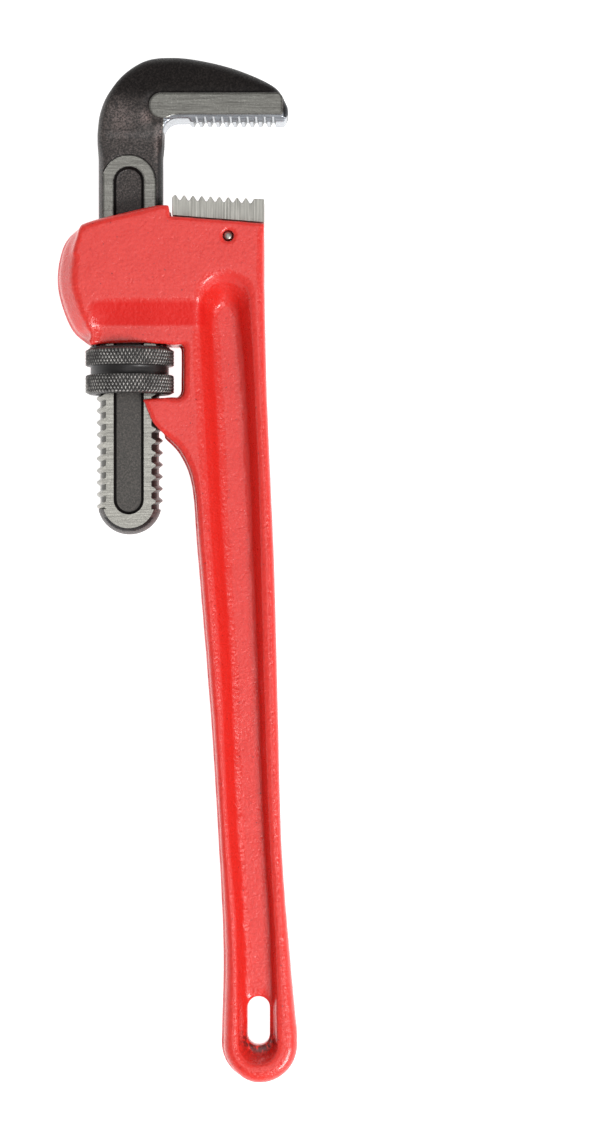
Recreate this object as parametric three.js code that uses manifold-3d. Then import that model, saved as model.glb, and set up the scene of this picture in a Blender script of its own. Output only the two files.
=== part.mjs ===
// Straight pipe wrench of the 18 inch size, lying flat with its jaws to +Y.
// Millimetres. The hook jaw's shank runs along Y at x = 0, the nut's middle is near y = 0,
// and z = 0 is the plane that cuts the wrench into its front and back halves.
// The exported group moves that frame so that its origin is the bottom centre of the whole.

import * as THREE from 'three';
import { mergeVertices } from 'three/addons/utils/BufferGeometryUtils.js';
import Module from 'manifold-3d';

const wasm = await Module();
wasm.setup();

// ---- driving dimensions ----------------------------------------------------------------

// screw: a single-start thread on the shank, cut away by the shank's two flats
const PITCH = 5;
const CREST_R = 13.8;
const ROOT_R = 12.35;
const THREAD_LOW = -59;
const THREAD_HIGH = 47;
const THREAD_CLEARANCE = 0.4;
const THREAD_STEPS = 24;

// hook jaw
const SHANK_HALF = 8;
const NECK_R = 13.95;
const NECK_HIGH = 92;
const HEAD_LOW = 106;
const HEAD_HALF = 11;
const FORGING_EDGE = 1.5;
const HOOK_TOOTH_Y = 102.2;
const HOOK_TOOTH_X = 25.9;
const HOOK_TOOTH_PITCH = 3.55;
const HOOK_TOOTH_DEPTH = 2;
const HOOK_TEETH = 10;
const THROAT_X = 14.5;
const RELIEF_R = 6;
const RELIEF_Y = 103.6;
const HOOK_END_X = 64.6;
const NECK_FLARE = 6;
const NECK_X = 0.5;
const SLOT_HALF = 6.3;
const SLOT_DEPTH = 1.6;
const SLOT_ENDS = [-60.9, 83.9];
const TAIL = { middle: -56, radius: 13.4, depth: 13.2 };

// adjusting nut
const NUT_R = 18.5;
const NUT_LOW = -10.7;
const NUT_HIGH = 8.5;
const NUT_GROOVE_R = 16.35;
const NUT_GROOVE = [-2.7, 1.15];
const NUT_HUB_R = 15.2;
const NUT_HUB_RISE = 0.5;

// handle casting: half thicknesses at the housing, at the ledge over the nut and at the grip
const HOUSING_HALF = 15.5;
const LEDGE_HALF = 12.5;
const GRIP_HALF = 10;
const WEB_HALF = 3.5;
const CASTING_EDGE = 2;
const END_R = 16;
const BOSS_TIP = [6.3, -13.1];
const WINDOW = { low: -12.2, high: 9.4, right: 21.7, lowR: 3.4, highR: 1.7 };
const CHANNEL_HALF = 9.1;
const FACES_MEET_X = 40;

// heel jaw, its tongue and its pin
const HEEL_LEFT = 18.2;
const HEEL_RIGHT = 56.4;
const HEEL_HALF = 11.2;
const HEEL_TOP_LEFT = 71.6;
const HEEL_TOP_RIGHT = 69.9;
const HEEL_TEETH = 9;
const HEEL_TOOTH_PITCH = 3.66;
const HEEL_TOOTH_DEPTH = 2.1;
const HEEL_CORNER = 1;
const SEAT_LEFT_Y = 62.9;
const SEAT_RIGHT_Y = 59.9;
const TONGUE = { left: 32, right: 51, low: 49.2, half: 5 };
const PIN_AT = [41.5, 54.4];
const PIN_R = 2;
const PIN_BELOW_FACE = 1.4;

// leaf spring, its rivet and the coil spring behind it
const LEAF = {
  left: 14.9, thick: 0.9, lip: 1.8, low: 16, high: 57, half: 5, lipLow: 2, lipHigh: 8, room: 2,
};
const LEAF_POCKET_RIGHT = 20.2;
const RIVET_R = 1.2;
const RIVET_HEAD_R = 2.1;
const RIVET_HEAD_THICK = 1.2;
const RIVET_SIDES = 16;
const COIL_Y = 44;
const COIL_R = 3.3;
const COIL_WIRE_R = 0.65;
const COIL_TURNS = 5;
const COIL_FROM_X = 17.4;
const COIL_TO_X = 26.6;
const COIL_POCKET_R = 4.7;

// hang hole: a slot through the web near the end of the grip
const HANG = { x: 54, low: -282.4, high: -262, half: 4.6 };

// fits
const GAP = 0.3;
const THROUGH = 40;
const CURVE_STEPS = 4;
const ROUND_SIDES = 40;
const NUT_SIDES = 48;

// bottom centre of the whole wrench in the frame above
const ORIGIN = { x: 20.01, y: -83.87, z: -NUT_R };

// ---- solids from three.js geometry ------------------------------------------------------

function toSolid(geometry) {
  const bare = geometry.clone();
  bare.deleteAttribute('normal');
  bare.deleteAttribute('uv');
  const merged = mergeVertices(bare, 1e-4);
  return new wasm.Manifold(new wasm.Mesh({
    numProp: 3,
    vertProperties: new Float32Array(merged.attributes.position.array),
    triVerts: new Uint32Array(merged.index.array),
  }));
}

function toGeometry(solid) {
  const mesh = solid.getMesh();
  const geometry = new THREE.BufferGeometry();
  geometry.setAttribute('position', new THREE.BufferAttribute(mesh.vertProperties, 3));
  geometry.setIndex(new THREE.BufferAttribute(mesh.triVerts, 1));
  geometry.computeVertexNormals();
  return geometry;
}

const points = (pairs) => pairs.map(([x, y]) => new THREE.Vector2(x, y));

// A prism of an outline in the XY plane.
function prism(shape, zLow, zHigh) {
  const geometry = new THREE.ExtrudeGeometry(shape, {
    depth: zHigh - zLow, curveSegments: CURVE_STEPS, bevelEnabled: false,
  });
  geometry.translate(0, 0, zLow);
  return toSolid(geometry);
}

// A prism of an outline drawn in (y, z), running along X.
function prismAlongX(shape, xLow, xHigh) {
  const geometry = new THREE.ExtrudeGeometry(shape, {
    depth: xHigh - xLow, curveSegments: CURVE_STEPS, bevelEnabled: false,
  });
  const turn = new THREE.Matrix4().makeBasis(
    new THREE.Vector3(0, 1, 0), new THREE.Vector3(0, 0, 1), new THREE.Vector3(1, 0, 0),
  );
  geometry.applyMatrix4(turn);
  geometry.translate(xLow, 0, 0);
  return toSolid(geometry);
}

function box(low, high) {
  const size = high.map((value, i) => value - low[i]);
  const geometry = new THREE.BoxGeometry(...size);
  geometry.translate(...low.map((value, i) => value + size[i] / 2));
  return toSolid(geometry);
}

// A cylinder along X, Y or Z, from one end to the other.
function rod(axis, radius, from, to, [u, v], sides = 24) {
  const geometry = new THREE.CylinderGeometry(radius, radius, to - from, sides);
  const middle = (from + to) / 2;
  if (axis === 'x') {
    geometry.rotateZ(Math.PI / 2).translate(middle, u, v);
  } else if (axis === 'y') {
    geometry.translate(u, middle, v);
  } else {
    geometry.rotateX(Math.PI / 2).translate(u, v, middle);
  }
  return toSolid(geometry);
}

// A solid whose side runs through loops of equal length; both caps use one triangulation.
function loft(loops, capLoop = loops[0]) {
  const count = loops[0].length;
  const positions = loops.flat().flatMap((p) => [p.x, p.y, p.z]);
  const index = [];
  for (let k = 0; k + 1 < loops.length; k += 1) {
    for (let i = 0; i < count; i += 1) {
      const a = k * count + i;
      const b = k * count + ((i + 1) % count);
      index.push(a, b, b + count, a, b + count, a + count);
    }
  }
  const flat = capLoop.map((p) => new THREE.Vector2(p.x, p.y));
  const top = (loops.length - 1) * count;
  for (const [a, b, c] of THREE.ShapeUtils.triangulateShape(flat, [])) {
    index.push(a, c, b, a + top, b + top, c + top);
  }
  return new wasm.Manifold(new wasm.Mesh({
    numProp: 3,
    vertProperties: new Float32Array(positions),
    triVerts: new Uint32Array(index),
  }));
}

// A closed loop moved inwards by a distance, each corner along its own bisector.
function inset(loop, distance) {
  return loop.map((p, i) => {
    const before = loop[(i + loop.length - 1) % loop.length];
    const after = loop[(i + 1) % loop.length];
    const into = new THREE.Vector2().subVectors(p, before).normalize();
    const out = new THREE.Vector2().subVectors(after, p).normalize();
    const normal = new THREE.Vector2(-into.y - out.y, into.x + out.x).normalize();
    const miter = Math.max(0.6, normal.x * -into.y + normal.y * into.x);
    return normal.multiplyScalar(distance / miter).add(p);
  });
}

// A prism of an outline, centred on z = 0, with both its edges rounded by a radius.
function roundedPrism(shape, half, edge) {
  const outline = shape.getPoints(CURVE_STEPS);
  if (outline[0].distanceTo(outline.at(-1)) < 1e-6) outline.pop();
  if (THREE.ShapeUtils.isClockWise(outline)) outline.reverse();
  const quarter = [0, Math.PI / 4, Math.PI / 2];
  const levels = [
    ...quarter.map((a) => [edge * (1 - Math.sin(a)), edge * (1 - Math.cos(a)) - half]),
    ...quarter.toReversed().map((a) => [edge * (1 - Math.sin(a)), half - edge * (1 - Math.cos(a))]),
  ];
  const loops = levels.map(([depth, z]) => (
    inset(outline, depth).map((p) => new THREE.Vector3(p.x, p.y, z))
  ));
  return loft(loops, outline);
}

// A right-hand screw about Y, its crest centred on y = 0 at +X and every pitch from there.
// The radius steps root, crest, crest, root over one pitch, with sloping flanks between.
function screw(rootR, crestR, yLow, yHigh, crestShare) {
  const crest = crestShare / 2;
  const foot = crest + 0.15;
  const profile = [[-foot, rootR], [-crest, crestR], [crest, crestR], [foot, rootR]];
  const start = (Math.floor(yLow / PITCH) - 1) * PITCH;
  const turns = Math.ceil((yHigh - start) / PITCH) + 1;
  const rows = turns * profile.length;
  const positions = [];
  for (let row = 0; row < rows; row += 1) {
    const [share, radius] = profile[row % profile.length];
    const turn = Math.floor(row / profile.length);
    for (let i = 0; i < THREAD_STEPS; i += 1) {
      const angle = (2 * Math.PI * i) / THREAD_STEPS;
      const y = start + (turn + share + i / THREAD_STEPS) * PITCH;
      positions.push(radius * Math.cos(angle), y, -radius * Math.sin(angle));
    }
  }
  const at = (row, i) => (i < THREAD_STEPS ? row * THREAD_STEPS + i
    : (row + profile.length) * THREAD_STEPS);
  const index = [];
  for (let row = 0; row + 1 < rows; row += 1) {
    for (let i = 0; i < THREAD_STEPS; i += 1) {
      if (i === THREAD_STEPS - 1 && row + 1 + profile.length >= rows) continue;
      const [a, b] = [at(row, i), at(row, i + 1)];
      const [c, d] = [at(row + 1, i + 1), at(row + 1, i)];
      index.push(a, b, c, a, c, d);
    }
  }
  const last = THREAD_STEPS - 1;
  const ring = (row) => Array.from({ length: THREAD_STEPS }, (_, i) => at(row, i));
  const lowLoop = [...ring(0), ...[4, 3, 2, 1].map((row) => at(row, 0))];
  const highLoop = [...ring(rows - 1), ...[2, 3, 4, 5].map((row) => at(rows - row, last))];
  const fan = (loop, y, flip) => {
    const centre = positions.length / 3;
    positions.push(0, y, 0);
    loop.forEach((a, i) => {
      const b = loop[(i + 1) % loop.length];
      index.push(...(flip ? [centre, b, a] : [centre, a, b]));
    });
  };
  fan(lowLoop, start, true);
  fan(highLoop, start + turns * PITCH, false);
  const geometry = new THREE.BufferGeometry();
  geometry.setAttribute('position', new THREE.Float32BufferAttribute(positions, 3));
  geometry.setIndex(index);
  const wide = crestR + PITCH;
  return toSolid(geometry).intersect(box([-wide, yLow, -wide], [wide, yHigh, wide]));
}

// ---- handle casting ---------------------------------------------------------------------

// The silhouette: housing over the nut's window, boss under it, neck and grip.
function handleOutline() {
  const shape = new THREE.Shape();
  shape.moveTo(-22.5, 58);
  shape.splineThru(points([[-13.4, 61.2], [5.4, 65.7], [12, 67.1]]));
  shape.lineTo(16.8, 67.1);
  shape.lineTo(17.5, SEAT_LEFT_Y);
  shape.lineTo(HEEL_RIGHT, SEAT_RIGHT_Y);
  shape.lineTo(56.5, 33.8);
  shape.splineThru(points([
    [57.5, -12.4], [60.4, -79.6], [62, -141], [63.6, -200], [67.3, -248], [70.2, -278],
  ]));
  shape.absarc(54.4, -281.5, END_R, 0.15, -Math.PI, true);
  shape.splineThru(points([[39.2, -244], [37.6, -205], [33.9, -145], [27.9, -71.2]]));
  shape.splineThru(points([[25.9, -48], [20.8, -35.5], [13.7, -28.2]]));
  shape.splineThru(points([[9.4, -23], BOSS_TIP]));
  const { low, high, right, lowR, highR } = WINDOW;
  shape.absarc(right - lowR, low + lowR, lowR, -Math.PI / 2, 0, false);
  shape.absarc(right - highR, high - highR, highR, 0, Math.PI / 2, false);
  shape.splineThru(points([[4, 10.2], [-16.2, 9.4]]));
  shape.splineThru(points([[-23.5, 15.6], [-28.2, 26], [-30.2, 37], [-28.5, 49], [-22.5, 58]]));
  return shape;
}

const lerpThrough = (table) => (y) => {
  const i = Math.max(1, table.findIndex(([at], k) => k > 0 && y >= at));
  const [y0, z0] = table[i - 1];
  const [y1, z1] = table[i] ?? table[i - 1];
  return y0 === y1 ? z0 : z0 + ((z1 - z0) * (y - y0)) / (y1 - y0);
};

// Half thickness of the casting along Y: the right flange thins smoothly all the way down,
// the left side steps down through a cove to the ledge over the nut.
const RIGHT_FACE = [
  [80, HOUSING_HALF], [36, HOUSING_HALF], [-20, 13.4], [-80, 11.6], [-150, 10.4],
  [-215, GRIP_HALF], [-320, GRIP_HALF + 0.6],
];
const LEFT_FACE = [
  [80, HOUSING_HALF], [28, HOUSING_HALF], [24.5, 14.8], [21.5, 13.4], [20, LEDGE_HALF],
  [-20, LEDGE_HALF], [-80, 11.6], [-150, 10.4], [-215, GRIP_HALF], [-320, GRIP_HALF + 0.6],
];
const rightHalf = lerpThrough(RIGHT_FACE);

function thicknessEnvelope() {
  const outline = (table) => new THREE.Shape(points([
    ...table, ...table.map(([y, z]) => [y, -z]).reverse(),
  ]));
  return prismAlongX(outline(LEFT_FACE), -THROUGH, FACES_MEET_X)
    .add(prismAlongX(outline(RIGHT_FACE), FACES_MEET_X, FACES_MEET_X + THROUGH));
}

// One loop of the recess between the flanges: round bottom, right side, round top, left side.
function recessLoop({ bottom, bottomR, right, top, topR, left }, zOf) {
  const sideSteps = 12;
  const arcSteps = 6;
  const side = (pairs) => new THREE.SplineCurve(points(pairs)).getPoints(sideSteps);
  const arc = ([x, y], r, a, b) => new THREE.EllipseCurve(x, y, r, r, a, b).getPoints(arcSteps);
  const loop = [
    ...arc(bottom, bottomR, Math.PI, 2 * Math.PI),
    ...side([[bottom[0] + bottomR, bottom[1]], ...right, [top[0] + topR, top[1]]]).slice(1),
    ...arc(top, topR, 0, Math.PI).slice(1),
    ...side([[top[0] - topR, top[1]], ...left, [bottom[0] - bottomR, bottom[1]]]).slice(1, -1),
  ];
  return loop.map((p) => new THREE.Vector3(p.x, p.y, zOf(p.y)));
}

const RECESS_FLOOR = {
  bottom: [54.5, -280], bottomR: 5.3, top: [40.3, 21.5], topR: 5.1,
  right: [[58.9, -236], [55.8, -188], [53.5, -126], [51.1, -71], [48.5, -10]],
  left: [[37.2, -10], [40.2, -71], [43.3, -126], [45.7, -188], [48.4, -236]],
};
const RECESS_MOUTH = {
  bottom: [53.6, -281.5], bottomR: 8.6, top: [40.2, 29], topR: 10.7,
  right: [[61.4, -244], [58.5, -188], [56.4, -126], [55, -60], [53.2, -17]],
  left: [[29, 4.8], [33.3, -71], [37.5, -126], [40.2, -188], [43.9, -229]],
};

// The recess on the front face; the back one is its mirror image.
function recess() {
  return loft([
    recessLoop(RECESS_FLOOR, () => WEB_HALF),
    recessLoop(RECESS_MOUTH, rightHalf),
    recessLoop(RECESS_MOUTH, () => HOUSING_HALF + 5),
  ]);
}

// The way of the shank through the housing and the boss. Its left wall is the stop that the
// springs press the shank against; its right wall leaves room for the jaw to rock in.
function shankChannel() {
  const left = -CREST_R - 0.45;
  const housing = new THREE.Shape(points([[left, 5], [14.8, 5], [17.8, 75], [left, 75]]));
  const boss = new THREE.Shape(points([[0, -8], [14.4, -8], [14.8, -40], [0, -40]]));
  return prism(housing, -CHANNEL_HALF, CHANNEL_HALF)
    .add(prism(boss, -CHANNEL_HALF, CHANNEL_HALF));
}

function springPockets() {
  const half = LEAF.half + 2 * GAP;
  const { left, low, high, room } = LEAF;
  return box([left, low - room, -half], [LEAF_POCKET_RIGHT, high + room, half])
    .add(rod('x', COIL_POCKET_R, LEAF.left, COIL_TO_X + GAP, [COIL_Y, 0]));
}

function mortise() {
  const { left, right, low, half } = TONGUE;
  return box([left - GAP, low - GAP, -half - GAP], [right + GAP, 75, half + GAP]);
}

function hangHole() {
  const { x, low, high, half } = HANG;
  const shape = new THREE.Shape();
  shape.absarc(x, high - half, half, 0, Math.PI, false);
  shape.absarc(x, low + half, half, Math.PI, 2 * Math.PI, false);
  return prism(shape, -THROUGH, THROUGH);
}

function makeHandle() {
  const front = recess();
  const back = front.mirror([0, 0, 1]);
  return roundedPrism(handleOutline(), HOUSING_HALF, CASTING_EDGE)
    .intersect(thicknessEnvelope())
    .subtract(front)
    .subtract(back)
    .subtract(shankChannel())
    .subtract(springPockets())
    .subtract(mortise())
    .subtract(rod('z', PIN_R + GAP, -THROUGH, THROUGH, PIN_AT))
    .subtract(hangHole());
}

// ---- hook jaw ---------------------------------------------------------------------------

// Teeth along a straight line: each one rises steeply and falls back to the root.
function toothRow(x, y, count, pitch, depth, slope) {
  const row = [];
  for (let i = 0; i < count; i += 1) {
    const at = x + i * pitch;
    const tip = y + slope * (at - x);
    row.push([at, tip], [at + 0.2 * pitch, tip]);
    row.push([at + 0.55 * pitch, tip + depth], [at + 0.75 * pitch, tip + depth]);
  }
  return row;
}

function hookOutline() {
  const shape = new THREE.Shape();
  shape.moveTo(-13.2, THREAD_HIGH);
  shape.lineTo(THROAT_X, THREAD_HIGH);
  shape.absarc(THROAT_X + RELIEF_R, RELIEF_Y - RELIEF_R, RELIEF_R, Math.PI, Math.PI / 2, true);
  shape.lineTo(HOOK_TOOTH_X - 0.9, RELIEF_Y);
  for (const [x, y] of toothRow(HOOK_TOOTH_X, HOOK_TOOTH_Y, HOOK_TEETH, HOOK_TOOTH_PITCH,
    HOOK_TOOTH_DEPTH, 0)) {
    shape.lineTo(x, y);
  }
  shape.lineTo(HOOK_TOOTH_X + HOOK_TEETH * HOOK_TOOTH_PITCH, HOOK_TOOTH_Y);
  shape.lineTo(HOOK_END_X, HOOK_TOOTH_Y);
  shape.lineTo(HOOK_END_X + 1.7, HOOK_TOOTH_Y + 0.4);
  shape.splineThru(points([
    [65.6, 109.8], [60.4, 117.2], [46, 124.1], [31, 128.2], [18.4, 129.7], [7.4, 128.5],
    [-2, 122.4], [-8.8, 113.7], [-12.1, 105.6], [-13.2, 97.2],
  ]));
  return shape;
}

// Half thickness of the forging along Y: shank flats, then a rise to the head.
function forgingEnvelope() {
  const table = [
    [THREAD_HIGH - 1, SHANK_HALF], [99, SHANK_HALF + 0.3], [103, 9.2], [108, HEAD_HALF],
    [140, HEAD_HALF],
  ];
  return prismAlongX(new THREE.Shape(points([
    ...table, ...table.map(([y, z]) => [y, -z]).reverse(),
  ])), -THROUGH, 90);
}

function slotPocket() {
  const shape = new THREE.Shape();
  const [low, high] = SLOT_ENDS;
  shape.absarc(0, high - SLOT_HALF, SLOT_HALF, 0, Math.PI, false);
  shape.absarc(0, low + SLOT_HALF, SLOT_HALF, Math.PI, 2 * Math.PI, false);
  return prism(shape, SHANK_HALF - SLOT_DEPTH, SHANK_HALF + 5);
}

// The neck is round at the shank and flares until the head's full section stands clear of it.
function neckBlank() {
  const profile = points([
    [0, THREAD_HIGH - 1], [NECK_R, THREAD_HIGH - 1], [NECK_R, NECK_HIGH],
    [NECK_R + NECK_FLARE, HEAD_LOW], [0, HEAD_LOW],
  ]);
  return toSolid(new THREE.LatheGeometry(profile, ROUND_SIDES).translate(NECK_X, 0, 0));
}

function makeHookJaw() {
  const flats = box([-THROUGH, -90, -SHANK_HALF], [THROUGH, THREAD_HIGH, SHANK_HALF]);
  const thread = screw(ROOT_R, CREST_R, THREAD_LOW, THREAD_HIGH, 0.3);
  const tail = toSolid(new THREE.SphereGeometry(TAIL.radius, 32, 16)
    .scale(1, TAIL.depth / TAIL.radius, 1)
    .translate(0, TAIL.middle, 0))
    .intersect(box([-THROUGH, -90, -THROUGH], [THROUGH, THREAD_LOW + 0.2, THROUGH]));
  const band = box([-THROUGH, THREAD_HIGH - 1, -THROUGH], [THROUGH, HEAD_LOW - 0.1, THROUGH]);
  const forging = roundedPrism(hookOutline(), HEAD_HALF, FORGING_EDGE).intersect(forgingEnvelope());
  const upper = forging.subtract(band.subtract(neckBlank()));
  return thread.add(tail).intersect(flats).add(upper)
    .subtract(slotPocket())
    .subtract(slotPocket().mirror([0, 0, 1]));
}

// ---- adjusting nut ----------------------------------------------------------------------

function makeNut() {
  const chamfer = 0.9;
  const [grooveLow, grooveHigh] = NUT_GROOVE;
  const profile = points([
    [0, NUT_LOW], [NUT_R - 2 * chamfer, NUT_LOW], [NUT_R, NUT_LOW + chamfer],
    [NUT_R, grooveLow - chamfer / 2], [NUT_R - chamfer / 2, grooveLow],
    [NUT_GROOVE_R, grooveLow], [NUT_GROOVE_R, grooveHigh],
    [NUT_R - chamfer / 2, grooveHigh], [NUT_R, grooveHigh + chamfer / 2],
    [NUT_R, NUT_HIGH - chamfer], [NUT_R - 2 * chamfer, NUT_HIGH], [NUT_HUB_R, NUT_HIGH],
    [NUT_HUB_R, NUT_HIGH + NUT_HUB_RISE], [0, NUT_HIGH + NUT_HUB_RISE],
  ]);
  const blank = toSolid(new THREE.LatheGeometry(profile, NUT_SIDES));
  const hole = screw(ROOT_R + THREAD_CLEARANCE, CREST_R + THREAD_CLEARANCE,
    NUT_LOW - 1, NUT_HIGH + 2, 0.46);
  const deep = 0.8;
  const lead = (y) => (
    rod('y', CREST_R + THREAD_CLEARANCE, y - deep, y + deep, [0, 0], NUT_SIDES)
  );
  return blank.subtract(hole).subtract(lead(NUT_LOW)).subtract(lead(NUT_HIGH + NUT_HUB_RISE));
}

// ---- heel jaw and its pin ---------------------------------------------------------------

function makeHeelJaw() {
  const slope = (HEEL_TOP_RIGHT - HEEL_TOP_LEFT) / (HEEL_RIGHT - HEEL_LEFT);
  const shape = new THREE.Shape();
  shape.moveTo(HEEL_LEFT, SEAT_LEFT_Y + GAP);
  shape.lineTo(HEEL_LEFT, HEEL_TOP_LEFT - HEEL_CORNER);
  const firstX = HEEL_LEFT + HEEL_CORNER;
  for (const [x, y] of toothRow(firstX, HEEL_TOP_LEFT, HEEL_TEETH, HEEL_TOOTH_PITCH,
    -HEEL_TOOTH_DEPTH, slope)) {
    shape.lineTo(x, y);
  }
  const lastX = firstX + HEEL_TEETH * HEEL_TOOTH_PITCH;
  shape.lineTo(lastX, HEEL_TOP_LEFT + slope * (lastX - HEEL_LEFT));
  shape.lineTo(HEEL_RIGHT, HEEL_TOP_RIGHT);
  shape.lineTo(HEEL_RIGHT, SEAT_RIGHT_Y + GAP);
  const { left, right, low, half } = TONGUE;
  return prism(shape, -HEEL_HALF, HEEL_HALF)
    .add(box([left, low, -half], [right, 64, half]))
    .subtract(rod('z', PIN_R + GAP, -THROUGH, THROUGH, PIN_AT));
}

function makeHeelPin() {
  const reach = HOUSING_HALF - PIN_BELOW_FACE;
  const dome = 0.8;
  const profile = points([
    [0, -reach], [PIN_R - dome, -reach], [PIN_R, -reach + dome],
    [PIN_R, reach - dome], [PIN_R - dome, reach], [0, reach],
  ]);
  return new THREE.LatheGeometry(profile, 20).rotateX(Math.PI / 2).translate(...PIN_AT, 0);
}

// ---- springs ----------------------------------------------------------------------------

function makeLeafSpring() {
  const { left, thick, lip, low, high, half, lipLow, lipHigh } = LEAF;
  const shape = new THREE.Shape();
  shape.moveTo(left + lip, low);
  shape.quadraticCurveTo(left, low + lipLow, left, low + lipHigh);
  shape.lineTo(left, high - lipHigh);
  shape.quadraticCurveTo(left, high - lipLow, left + lip, high);
  shape.lineTo(left + lip + thick, high);
  shape.quadraticCurveTo(left + thick, high - lipLow, left + thick, high - lipHigh);
  shape.lineTo(left + thick, low + lipHigh);
  shape.quadraticCurveTo(left + thick, low + lipLow, left + lip + thick, low);
  return prism(shape, -half, half)
    .subtract(rod('x', RIVET_R + GAP, left - 1, left + thick + 1, [COIL_Y, 0], RIVET_SIDES));
}

// A short rivet in the leaf's hole; its head is inside the coil and centres it.
function makeSpringRivet() {
  const headFrom = LEAF.left + LEAF.thick + GAP;
  return rod('x', RIVET_R, LEAF.left + 0.2, headFrom + 0.5, [COIL_Y, 0], RIVET_SIDES)
    .add(rod('x', RIVET_HEAD_R, headFrom, headFrom + RIVET_HEAD_THICK, [COIL_Y, 0], RIVET_SIDES));
}

class CoilPath extends THREE.Curve {
  getPoint(t, target = new THREE.Vector3()) {
    const angle = 2 * Math.PI * COIL_TURNS * t;
    const x = COIL_FROM_X + COIL_WIRE_R + (COIL_TO_X - COIL_FROM_X - 2 * COIL_WIRE_R) * t;
    return target.set(x, COIL_Y + COIL_R * Math.cos(angle), COIL_R * Math.sin(angle));
  }
}

function makeCoilSpring() {
  const wire = new THREE.Shape();
  wire.absarc(0, 0, COIL_WIRE_R, 0, 2 * Math.PI, false);
  return new THREE.ExtrudeGeometry(wire, {
    steps: 12 * COIL_TURNS, curveSegments: CURVE_STEPS, extrudePath: new CoilPath(),
    bevelEnabled: false,
  });
}

// ---- finishes and assembly --------------------------------------------------------------

const FINISH = {
  enamel: { color: 0xd8362c, roughness: 0.3, metalness: 0 },
  oxide: { color: 0x3c3733, roughness: 0.5, metalness: 0.7 },
  nutBlack: { color: 0x2a2826, roughness: 0.4, metalness: 0.8 },
  ground: { color: 0xa9a99f, roughness: 0.35, metalness: 1 },
  springSteel: { color: 0x8a8c90, roughness: 0.4, metalness: 1 },
};

const wrench = new THREE.Group();
wrench.position.set(-ORIGIN.x, -ORIGIN.y, -ORIGIN.z);

function addPiece(name, finish, shape) {
  const geometry = shape.isBufferGeometry ? shape : toGeometry(shape);
  const piece = new THREE.Mesh(geometry, new THREE.MeshStandardMaterial(FINISH[finish]));
  piece.name = name;
  wrench.add(piece);
}

addPiece('handle', 'enamel', makeHandle());
addPiece('hook_jaw', 'oxide', makeHookJaw());
addPiece('adjusting_nut', 'nutBlack', makeNut());
addPiece('heel_jaw', 'ground', makeHeelJaw());
addPiece('heel_jaw_pin', 'ground', makeHeelPin());
addPiece('leaf_spring', 'springSteel', makeLeafSpring());
addPiece('spring_rivet', 'springSteel', makeSpringRivet());
addPiece('coil_spring', 'springSteel', makeCoilSpring());

export default wrench;
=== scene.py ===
"""Straight pipe wrench: the finished visual model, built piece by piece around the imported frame.

Shapes are drawn in millimetres in a drawing frame: x across, y along the jaw's shank towards
the jaws, z up through the thickness, with zero on the shank's axis, level with the nut.
Castings and forgings are signed distance fields turned into quads; machined pieces are meshes.
"""

import logging
import math
from dataclasses import dataclass, field
from enum import Enum

import bmesh
import bpy
import numpy as np
from mathutils import Euler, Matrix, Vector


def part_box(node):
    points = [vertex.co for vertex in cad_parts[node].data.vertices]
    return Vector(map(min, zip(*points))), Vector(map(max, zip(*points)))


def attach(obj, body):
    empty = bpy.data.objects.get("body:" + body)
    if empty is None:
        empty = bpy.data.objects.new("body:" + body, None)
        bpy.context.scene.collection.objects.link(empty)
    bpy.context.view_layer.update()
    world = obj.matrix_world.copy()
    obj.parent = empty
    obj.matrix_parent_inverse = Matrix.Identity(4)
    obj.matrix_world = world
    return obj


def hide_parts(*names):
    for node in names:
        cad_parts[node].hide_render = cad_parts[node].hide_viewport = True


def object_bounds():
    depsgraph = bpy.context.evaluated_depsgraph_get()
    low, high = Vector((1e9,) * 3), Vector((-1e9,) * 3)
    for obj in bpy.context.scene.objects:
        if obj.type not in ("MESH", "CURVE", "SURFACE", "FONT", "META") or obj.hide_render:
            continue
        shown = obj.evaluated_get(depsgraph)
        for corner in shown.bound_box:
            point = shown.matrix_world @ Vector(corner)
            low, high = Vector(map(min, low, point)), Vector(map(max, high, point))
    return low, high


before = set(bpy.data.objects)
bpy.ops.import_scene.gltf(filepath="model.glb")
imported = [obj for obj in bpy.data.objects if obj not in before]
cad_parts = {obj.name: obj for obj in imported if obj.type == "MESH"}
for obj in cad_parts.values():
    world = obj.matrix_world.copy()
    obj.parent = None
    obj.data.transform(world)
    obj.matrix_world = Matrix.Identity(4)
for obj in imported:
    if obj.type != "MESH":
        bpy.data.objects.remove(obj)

CAD_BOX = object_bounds()
MM = 0.001
LOG = logging.getLogger("pipe_wrench")
MAP_RANGE_ENDS = ("From Min", "From Max", "To Min", "To Max")

Point = tuple[float, float]
Colour = tuple[float, float, float]

NUT_LOW = -10.7
HEEL_PIN: Point = (41.5, 54.4)


# ---- drawing tools ------------------------------------------------------------------------


@dataclass(frozen=True)
class DrawingFrame:
    """Where the drawing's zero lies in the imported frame."""

    nut_low: float = NUT_LOW

    def origin(self) -> np.ndarray:
        """Gives the drawing's zero in metres, from the nut's place in the frame.

        Returns:
            The point on the shank's axis that the drawing calls (0, 0, 0).
        """
        low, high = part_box("adjusting_nut")
        middle = (low + high) / 2
        return np.array([middle.x, low.y - self.nut_low * MM, middle.z])

    def metres(self, points: np.ndarray) -> np.ndarray:
        """Turns drawing points, in millimetres, into frame points in metres."""
        return np.asarray(points, float) * MM + self.origin()


DRAWING = DrawingFrame()


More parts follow.
